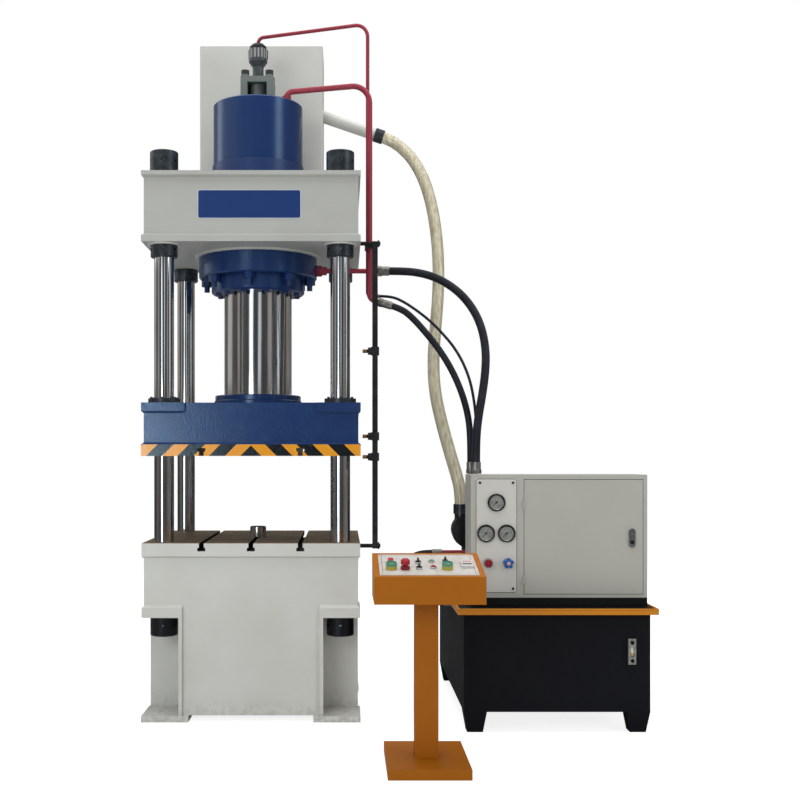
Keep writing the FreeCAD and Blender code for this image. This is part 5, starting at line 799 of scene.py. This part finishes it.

# The dial's paper is painted mid grey: painted shade for the dimness inside the case. Its ticks
# are told by the place on the dial, which the mesh carries as an attribute: the direction from the
# middle gives the tick, the distance its length. A fine line runs round the ticks, and a red one
# marks the upper quarter of the scale.
scale_sweep, scale_end = math.radians(270), 50
scale_outside, scale_line, red_line = 0.0384, 0.0378, 0.0368
red_start, red_end = 1.4, 2.36
paper, tree, shader, place = material("printed_dial_paper_with_painted_shade", Roughness=0.6, Specular_IOR_Level=0.2)
tone(tree, shader, place, 0.03, "#979893", "#7f807c")
on_dial = add(tree, "ShaderNodeAttribute", attribute_name="on_dial").outputs["Vector"]
u, v, _ = add(tree, "ShaderNodeSeparateXYZ", {0: on_dial}).outputs
distance = add(tree, "ShaderNodeVectorMath", {0: on_dial}, operation="LENGTH").outputs[1]
turned = add(tree, "ShaderNodeMath", {0: u, 1: v}, operation="ARCTAN2").outputs[0]
past_last_tick = 0.0438
on_scale = within(tree, turned, -scale_sweep / 2 - past_last_tick, scale_sweep / 2 + past_last_tick)
minor_step = scale_sweep / scale_end
for step, inner, half_width in ((minor_step, 0.0350, 0.00025), (5 * minor_step, 0.0325, 0.0005),
                                (10 * minor_step, 0.0305, 0.0008)):
    nearest = add(tree, "ShaderNodeMath", {0: turned, 1: step / 2}, operation="PINGPONG").outputs[0]
    apart = add(tree, "ShaderNodeMath", {0: nearest, 1: distance}, operation="MULTIPLY").outputs[0]
    tick = all_of(tree, within(tree, apart, -1, half_width),
                  within(tree, distance, inner, scale_outside), on_scale)
    painted_over(tree, shader, tick, "#15161a")
round_line = all_of(tree, within(tree, distance, scale_line, scale_outside), on_scale)
painted_over(tree, shader, round_line, "#15161a")
red_part = all_of(tree, within(tree, distance, red_line, scale_line),
                  within(tree, turned, red_start, red_end))
painted_over(tree, shader, red_part, "#a3202a")

ink, tree, shader, place = material("dial_ink", Roughness=0.6)
tone(tree, shader, place, 0.01, "#141518", "#1e1f22")


def number_mesh(text, x, y):
    """A number as a thin closed mesh in the XY plane, 8.5 mm type just above the paper: its
    vertices and faces, centred on (x, y)."""
    level = 0.0002
    lettering = bpy.data.curves.new("number_" + text, "FONT")
    lettering.body = text
    lettering.size = 0.0085
    lettering.extrude = 0.00008
    lettering.align_x = "CENTER"
    lettering.align_y = "CENTER"
    drawn = bpy.data.objects.new("number_" + text, lettering)
    flat = bpy.data.meshes.new_from_object(drawn)
    vertices = np.array([vertex.co for vertex in flat.vertices]) + np.array((x, y, level))
    faces = [tuple(polygon.vertices) for polygon in flat.polygons]
    bpy.data.objects.remove(drawn)
    return vertices, faces


def printed_numbers(name, x, y, z):
    """A dial's numbers from 0 to 50 as one piece, each at its own heading from the middle."""
    radius = 0.0243
    all_vertices, all_faces, count = [], [], 0
    for number in range(0, scale_end + 1, 10):
        heading = scale_sweep * (number / scale_end - 0.5)
        vertices, faces = number_mesh(str(number), radius * math.sin(heading),
                                      radius * math.cos(heading))
        all_vertices.append(vertices)
        all_faces += [tuple(count + corner for corner in face) for face in faces]
        count += len(vertices)
    mesh = bpy.data.meshes.new(name)
    mesh.from_pydata(facing_front(np.concatenate(all_vertices), x, y, z).tolist(), [], all_faces)
    mesh.materials.append(ink)
    printed = bpy.data.objects.new(name, mesh)
    scene.collection.objects.link(printed)
    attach(printed, "press")


def carry_places(piece, attribute, places):
    """Gives each vertex of a piece its place on the printed face, as an attribute."""
    carried = piece.data.attributes.new(attribute, "FLOAT_VECTOR", "POINT")
    carried.data.foreach_set("vector", places.astype(np.float32).ravel())


def dial(key, x, z):
    """A gauge's dial, its numbers, its black rim and its chromed inner ring."""
    floor_y, radius, thickness = -0.713, 0.0445, 0.00012
    paper_rows = revolved(((0, 0), (radius, 0), (radius, thickness), (0, thickness)))
    piece = closed_grid(f"dial_{key}", facing_front(paper_rows, x, floor_y, z), paper,
                        smooth=30)
    local = np.array([vertex.co for vertex in piece.data.vertices]) - np.array((x, floor_y, z))
    carry_places(piece, "on_dial", local[:, (0, 2, 1)] * np.array((1, 1, 0)))
    printed_numbers(f"dial_numbers_{key}", x, floor_y, z)
    for name, profile, finish, finish_slot in (
            ("rim", ((0.0449, 0.0002), (0.0449, 0.0058), (0.0434, 0.0058), (0.0408, 0.0036),
                     (0.0408, 0.0002)), case_finish, "black_plastic"),
            ("ring", ((0.0407, 0.0002), (0.0407, 0.0034), (0.0396, 0.0026), (0.0390, 0.0004),
                      (0.0394, 0.0002)), inner_ring, "zinc_steel")):
        closed_grid(f"dial_{name}_{key}", facing_front(revolved(profile), x, floor_y, z), finish,
                    along=True, smooth=30)


for key, x, z in (("top", 1.397, 1.270), ("left", 1.338, 1.096), ("right", 1.454, 1.096)):
    dial(key, x, z)


def moulded(name, colour, worn, gloss=0.36):
    """Moulded plastic: one colour that wear lightens in patches, with a fine grain from the
    mould."""
    finish, tree, shader, place = material(name, IOR=1.46, Specular_IOR_Level=0.4)
    tone(tree, shader, place, 0.012, colour, worn, 0.45, 0.75, 0.5)
    dulled(tree, shader, place, 0.006, gloss - 0.06, gloss + 0.08)
    grained(tree, shader, place, 0.0011, 0.0001, 0.3)
    return finish


black_plastic = moulded("black_abs", "#0f1012", "#1f2023", 0.42)
dress(black_plastic, "lock_button", "gauge_needle_top", "gauge_needle_left", "gauge_needle_right",
      "rear_selector", "middle_selector", "front_selector")
dark_red = moulded("dark_red_phenolic", "#7a1422", "#8f2c36", 0.28)
dress(dark_red, "relief_knob")
red_plastic = moulded("red_abs", "#98141f", "#b5434a")
dress(red_plastic, "stop_button", "red_button")
blue_plastic = moulded("blue_nylon", "#1b5a9e", "#3a78b8")
dress(blue_plastic, "valve_handwheel")
green_plastic = moulded("green_abs", "#558a70", "#79a08a")
dress(green_plastic, "two_hand_button_left", "two_hand_button_right", "green_button")

# The handwheel's screw is hidden by a pale pink cap.
cap_pink = moulded("pink_hub_cap", "#c98d92", "#dcb4b6")
wheel_x, wheel_front, wheel_z = 1.461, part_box("valve_handwheel")[0].y, 0.929
cap = revolved(((0, 0), (0.0105, 0), (0.0105, 0.0012), (0.008, 0.0028), (0, 0.0036)))
closed_grid("handwheel_cap", facing_front(cap, wheel_x, wheel_front, wheel_z), cap_pink,
            body="shut_off")


# ---------------------------------------------------------------- hoses
# Four black rubber hoses with a cloth-pattern cover and one clear tank hose hang between the
# press's pipes and the power unit; each is cut to length and crimped or banded at both ends.

# Rubber cover with a fine cloth weave pressed into it: dull black, bluish where the light grazes.
# The 1.5 mm weave is drawn 3 mm wide so that it shows.
black_rubber, tree, shader, place = material(
    "black_rubber_hose", Roughness=0.5, Specular_IOR_Level=0.3, Sheen_Weight=0.1,
    Sheen_Roughness=0.4)
tone(tree, shader, place, 0.11, "#14171e", "#343842", 0.45, 0.8, 0.4)
weave = add(tree, "ShaderNodeTexVoronoi", {"Vector": place, "Scale": 330.0})
bump = add(tree, "ShaderNodeBump", {"Height": weave.outputs[0], "Distance": 0.0006,
                                    "Strength": 0.25})
tree.links.new(bump.outputs[0], shader.inputs["Normal"])

# Soft clear vinyl that has yellowed, with oil inside: pale straw, glossy, a little see-through.
clear_vinyl, tree, shader, place = material(
    "clear_vinyl_hose", Roughness=0.22, IOR=1.5, Transmission_Weight=0.2, Coat_Weight=0.4,
    Coat_Roughness=0.1)
runs = add(tree, "ShaderNodeMapping", {0: place, "Scale": (1.0, 1.0, 0.04)}).outputs[0]
tone(tree, shader, runs, 0.014, "#d9d2b8", "#aca384", 0.4, 0.7)


def squared_to(line, across):
    """Two directions at each point of a line, square to it and to each other, the first of them
    as near as may be to the direction across."""
    ahead = np.gradient(line, axis=0)
    ahead /= np.linalg.norm(ahead, axis=1, keepdims=True)
    side = np.array(across) - (ahead @ np.array(across))[:, None] * ahead
    side /= np.linalg.norm(side, axis=1, keepdims=True)
    return side, np.cross(ahead, side)


def round_tube(line, radius, sides, across):
    """Rows of points round a line: circles of that radius, square to the line, with a row on the
    line itself at each end."""
    side, up = squared_to(line, across)
    turn = np.linspace(0, 2 * np.pi, sides, endpoint=False)[None, :, None]
    rings = line[:, None] + radius * (np.cos(turn) * side[:, None] + np.sin(turn) * up[:, None])
    ends = [np.repeat(line[at, None], sides, axis=1) for at in (slice(0, 1), slice(-1, None))]
    return np.concatenate([ends[0], rings, ends[1]])


def hose(name, points, diameter, finish, wound=None):
    """A hose on the route's own points: a NURBS spline of order 3 with a round section. The
    function wound, where there is one, makes a piece that follows the hose's centre line."""
    curve = bpy.data.curves.new(name + "_tube", "CURVE")
    curve.dimensions = "3D"
    curve.resolution_u = 12
    spline = curve.splines.new("NURBS")
    spline.points.add(len(points) - 1)
    for control, point in zip(spline.points, points):
        control.co = (*point, 1.0)
    spline.order_u = 3
    spline.use_endpoint_u = True
    piece = bpy.data.objects.new(name + "_tube", curve)
    scene.collection.objects.link(piece)
    curve.materials.append(finish)
    unbevelled = bpy.data.meshes.new_from_object(piece)
    centre = np.array([vertex.co for vertex in unbevelled.vertices])
    curve.bevel_depth = diameter / 2
    curve.bevel_resolution = 6
    curve.use_fill_caps = True
    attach(piece, "press")
    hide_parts(name)
    [wound(name + "_wire", centre, diameter)] if wound else []


# The steel wire moulded into the vinyl shows as a fine raised thread of duller, greyer straw.
over_wire, tree, shader, place = material("vinyl_over_wire", Roughness=0.35, Coat_Weight=0.3)
tone(tree, shader, place, 0.02, "#b3aa8c", "#8f8870")


def wire_in_wall(name, centre, diameter):
    """The wire in the hose's wall: a helix of 14 mm pitch. At the distance s along the hose it
    stands at the wall's radius, turned by 2 pi s / pitch."""
    pitch, thickness, clear_end = 0.014, 0.0032, 0.07
    steps = np.linalg.norm(np.diff(centre, axis=0), axis=1)
    passed = np.concatenate([[0], np.cumsum(steps)])
    reach = np.arange(clear_end, passed[-1] - clear_end, pitch / 14)
    line = np.stack([np.interp(reach, passed, centre[:, axis]) for axis in range(3)], axis=-1)
    side, up = squared_to(line, (0.0, 1.0, 0.0))
    turn = 2 * np.pi * reach[:, None] / pitch
    helix = line + (diameter / 2 - thickness * 0.2) * (np.cos(turn) * side + np.sin(turn) * up)
    return closed_grid(name, round_tube(helix, thickness / 2, 5, (0.3, 0.2, 0.93)), over_wire,
                       smooth=80)


hose("clear_hose", (
    (0.7703, 0.450, 3.6595), (0.841, 0.450, 3.6351), (0.922, 0.436, 3.578), (0.997, 0.404, 3.488),
    (1.063, 0.364, 3.354), (1.110, 0.322, 3.180), (1.135, 0.276, 3.001), (1.147, 0.226, 2.811),
    (1.143, 0.175, 2.584), (1.120, 0.124, 2.348), (1.100, 0.074, 2.127), (1.109, 0.028, 1.923),
    (1.149, -0.014, 1.733), (1.193, -0.049, 1.560), (1.232, -0.080, 1.423), (1.258, -0.100, 1.315),
    (1.258, -0.100, 1.207)), 0.076, clear_vinyl, wire_in_wall)
hose("pressure_hose", (
    (0.819, 0, 2.690), (0.912, 0, 2.690), (1.011, -0.022, 2.676), (1.109, -0.047, 2.643),
    (1.200, -0.078, 2.586), (1.276, -0.114, 2.513), (1.340, -0.153, 2.415), (1.381, -0.192, 2.301),
    (1.398, -0.231, 2.163), (1.388, -0.269, 2.027), (1.365, -0.305, 1.893), (1.338, -0.334, 1.760),
    (1.323, -0.350, 1.628), (1.323, -0.350, 1.497)), 0.05, black_rubber)
hose("return_hose", (
    (0.824, -0.300, 2.433), (0.886, -0.300, 2.414), (0.953, -0.297, 2.358), (1.023, -0.295, 2.280),
    (1.096, -0.291, 2.191), (1.162, -0.288, 2.092), (1.218, -0.282, 1.984), (1.263, -0.276, 1.864),
    (1.291, -0.268, 1.744), (1.300, -0.262, 1.616), (1.300, -0.262, 1.497)), 0.04,
    black_rubber)
hose("pilot_hose", (
    (0.751, -0.240, 2.500), (0.825, -0.240, 2.500), (0.902, -0.244, 2.464), (0.978, -0.249, 2.412),
    (1.056, -0.256, 2.350), (1.128, -0.263, 2.276), (1.197, -0.270, 2.194), (1.253, -0.277, 2.099),
    (1.295, -0.283, 1.990), (1.319, -0.287, 1.869), (1.331, -0.290, 1.747), (1.332, -0.290, 1.621),
    (1.332, -0.290, 1.497)), 0.017, black_rubber)
hose("drain_hose", (
    (1.070, -0.230, 0.954), (1.018, -0.230, 0.954), (0.960, -0.230, 0.938), (0.911, -0.230, 0.897),
    (0.884, -0.230, 0.838), (0.881, -0.230, 0.772), (0.906, -0.230, 0.712), (0.953, -0.230, 0.667),
    (1.012, -0.230, 0.644), (1.078, -0.230, 0.638), (1.140, -0.230, 0.638)), 0.022,
    black_rubber)


# ---------------------------------------------------------------- control console
# A folded orange box stands on a square post. Its sloping face carries a pale anodised plate with
# a printed border line, four screws, and the controls in their collars.
orange_coat = enamel("orange_powder_coat", "#9f5c0c", "#864d0c", peel=0.003, depth=0.0002,
                     gloss=0.42, shine=0.15)[0]
dress(orange_coat, "console_stand", "console_box")

face_plate, tree, shader, place = material("anodised_face_plate", Metallic=0.2, Roughness=0.42,
                                           Specular_IOR_Level=0.3)
tone(tree, shader, place, 0.05, "#cdc8c1", "#bbb6ae")
plate_low, plate_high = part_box("console_plate")
tilt = math.radians(11.5)
line_inset, line_width, line_corner = 0.014, 0.0022, 0.02
laid_flat = add(tree, "ShaderNodeMapping", {0: place, "Scale": (1, 1 / math.cos(tilt), 0)})
middle = (plate_low + plate_high) / 2
rim = inset_from_rim(tree, laid_flat.outputs[0], (middle.x, middle.y / math.cos(tilt), 0),
                     ((plate_high.x - plate_low.x) / 2,
                      (plate_high.y - plate_low.y) / 2 / math.cos(tilt), 0), line_corner)
painted_over(tree, shader, within(tree, rim, line_inset, line_inset + line_width), "#3a3a3c")
dress(face_plate, "console_plate")


# The face's own directions are the rows of this matrix: to the right, up the slope and outwards.
# It starts from the middle of the box's front edge.
face_turn = np.array(((1, 0, 0), (0, math.cos(tilt), math.sin(tilt)),
                      (0, -math.sin(tilt), math.cos(tilt))))
front_edge = np.array((0.943, -1.786, 0.962))


def on_console(points, x, along):
    """Sets points drawn about Z down on the console's sloping face: x to the right of its middle
    and along up the slope, both in metres."""
    return (points + np.array((x, along, 0))) @ face_turn + front_edge


def turned_on_console(name, profile, x, along, finish, ring=True):
    """A turned piece on the console's face; a ring's profile closes on itself."""
    return closed_grid(name, on_console(revolved(profile), x, along), finish,
                       along=ring, smooth=35, replaces="panel_collars")


# The plate is 3 mm thick on the box, and all that turns or is pressed comes through a collar.
plate_face = 0.003
push_bore, selector_bore = 0.0114, 0.0064
yellow_plastic = moulded("yellow_abs", "#a89a34", "#bdb05c")
collar_chrome, tree, shader, place = material("chromed_collar", Metallic=1.0)
tone(tree, shader, place, 0.01, "#c4c6c8", "#9a9c9e")
dulled(tree, shader, place, 0.01, 0.15, 0.3)
guard_along = 0.120
for side, x in (("left", -0.179), ("right", 0.091)):
    turned_on_console(f"{side}_guard", ((0.0214, plate_face), (0.0214, 0.0195), (0.0262, 0.0195),
                                        (0.0270, 0.0185), (0.0270, plate_face)),
                      x, guard_along, yellow_plastic)
    turned_on_console(f"{side}_shroud", ((0.0214, 0.0197), (0.0214, 0.036), (0.0224, 0.037),
                                         (0.0254, 0.037), (0.0262, 0.036), (0.0262, 0.0197)),
                      x, guard_along, green_plastic)
turned_on_console("stop_collar", ((push_bore, plate_face), (push_bore, 0.017), (0.021, 0.017),
                                  (0.023, 0.015), (0.023, plate_face)),
                  -0.112, 0.118, dark_red)
for name, bore, x, along in (("green_collar", push_bore, 0.022, 0.230),
                             ("red_collar", push_bore, 0.024, 0.133),
                             ("rear_selector_collar", selector_bore, 0.090, 0.230),
                             ("middle_selector_collar", selector_bore, -0.045, 0.213),
                             ("front_selector_collar", selector_bore, -0.045, 0.120)):
    turned_on_console(name, ((bore, plate_face), (bore, 0.0105), (bore + 0.001, 0.012),
                             (0.0135, 0.012), (0.016, 0.009), (0.016, plate_face)),
                      x, along, collar_chrome)
lamp_x, lamp_along = -0.179, 0.230
turned_on_console("lamp_collar", ((0.0139, plate_face), (0.0139, 0.011), (0.0155, 0.011),
                                  (0.016, 0.0095), (0.016, plate_face)),
                  lamp_x, lamp_along, collar_chrome)

# The lamp's lens is clear red plastic over a bulb.
lens, tree, shader, place = material("clear_red_lens", Roughness=0.15, Transmission_Weight=0.3,
                                     IOR=1.49, Coat_Weight=0.5)
tone(tree, shader, place, 0.008, "#c41c28", "#dd4a50")
turned_on_console("lamp_lens", ((0, plate_face), (0.0138, plate_face), (0.0138, 0.019),
                                (0.0125, 0.0232), (0.009, 0.0260), (0.0045, 0.0272), (0, 0.0275)),
                  lamp_x, lamp_along, lens, ring=False)

# The stroke counter: a white case with a row of red digits in a pale window and a row of black
# keys below it, told by the place on the case, which its mesh carries as an attribute.
counter_x, counter_along, counter_width, counter_length = 0.190, 0.177, 0.058, 0.096
digit_half, window_half, keys_half = 0.0055, 0.023, 0.0235
counter_case, tree, shader, place = material("counter_case_and_display", Roughness=0.35,
                                             Specular_IOR_Level=0.35)
tone(tree, shader, place, 0.02, "#c9c7c4", "#b9b6b1")
on_face = add(tree, "ShaderNodeAttribute", attribute_name="on_counter").outputs["Vector"]
u, v, w = add(tree, "ShaderNodeSeparateXYZ", {0: on_face}).outputs
top = within(tree, w, 0.0155, 1)
cell_u = add(tree, "ShaderNodeMath", {0: u, 1: digit_half}, operation="PINGPONG").outputs[0]
display = all_of(tree, top, within(tree, u, -window_half, window_half),
                 within(tree, v, 0.004, 0.034))
painted_over(tree, shader, display, "#d9d0cc")
digits = all_of(tree, display, within(tree, cell_u, 0.0016, digit_half),
                within(tree, v, 0.010, 0.028))
painted_over(tree, shader, digits, "#a8262e")
keys = all_of(tree, top, within(tree, u, -keys_half, keys_half),
              within(tree, cell_u, 0.0008, digit_half), within(tree, v, -0.030, -0.008))
painted_over(tree, shader, keys, "#17181b")
case_rows = plate_rows(counter_width, counter_length, 0.005,
                       ((0, plate_face), (0, 0.0165), (0.0015, 0.018)))
counter = closed_grid("stroke_counter", on_console(case_rows, counter_x, counter_along),
                      counter_case, smooth=30, replaces="panel_collars")
places = np.array([vertex.co for vertex in counter.data.vertices])
carry_places(counter, "on_counter",
             (places - front_edge) @ face_turn.T - np.array((counter_x, counter_along, 0)))

# The plate's corner screws are small zinc pan heads.
screw = revolved(((0, plate_face), (0.0032, plate_face), (0.0032, 0.0042), (0.0018, 0.0052),
                  (0, 0.0053)), 20)
screw_x, screw_front, screw_rear = 0.230, 0.035, 0.352
for number, (x, along) in enumerate(((-screw_x, screw_front), (screw_x, screw_front),
                                     (-screw_x, screw_rear), (screw_x, screw_rear)), 1):
    closed_grid(f"plate_screw_{number}", on_console(screw, x, along), zinc)
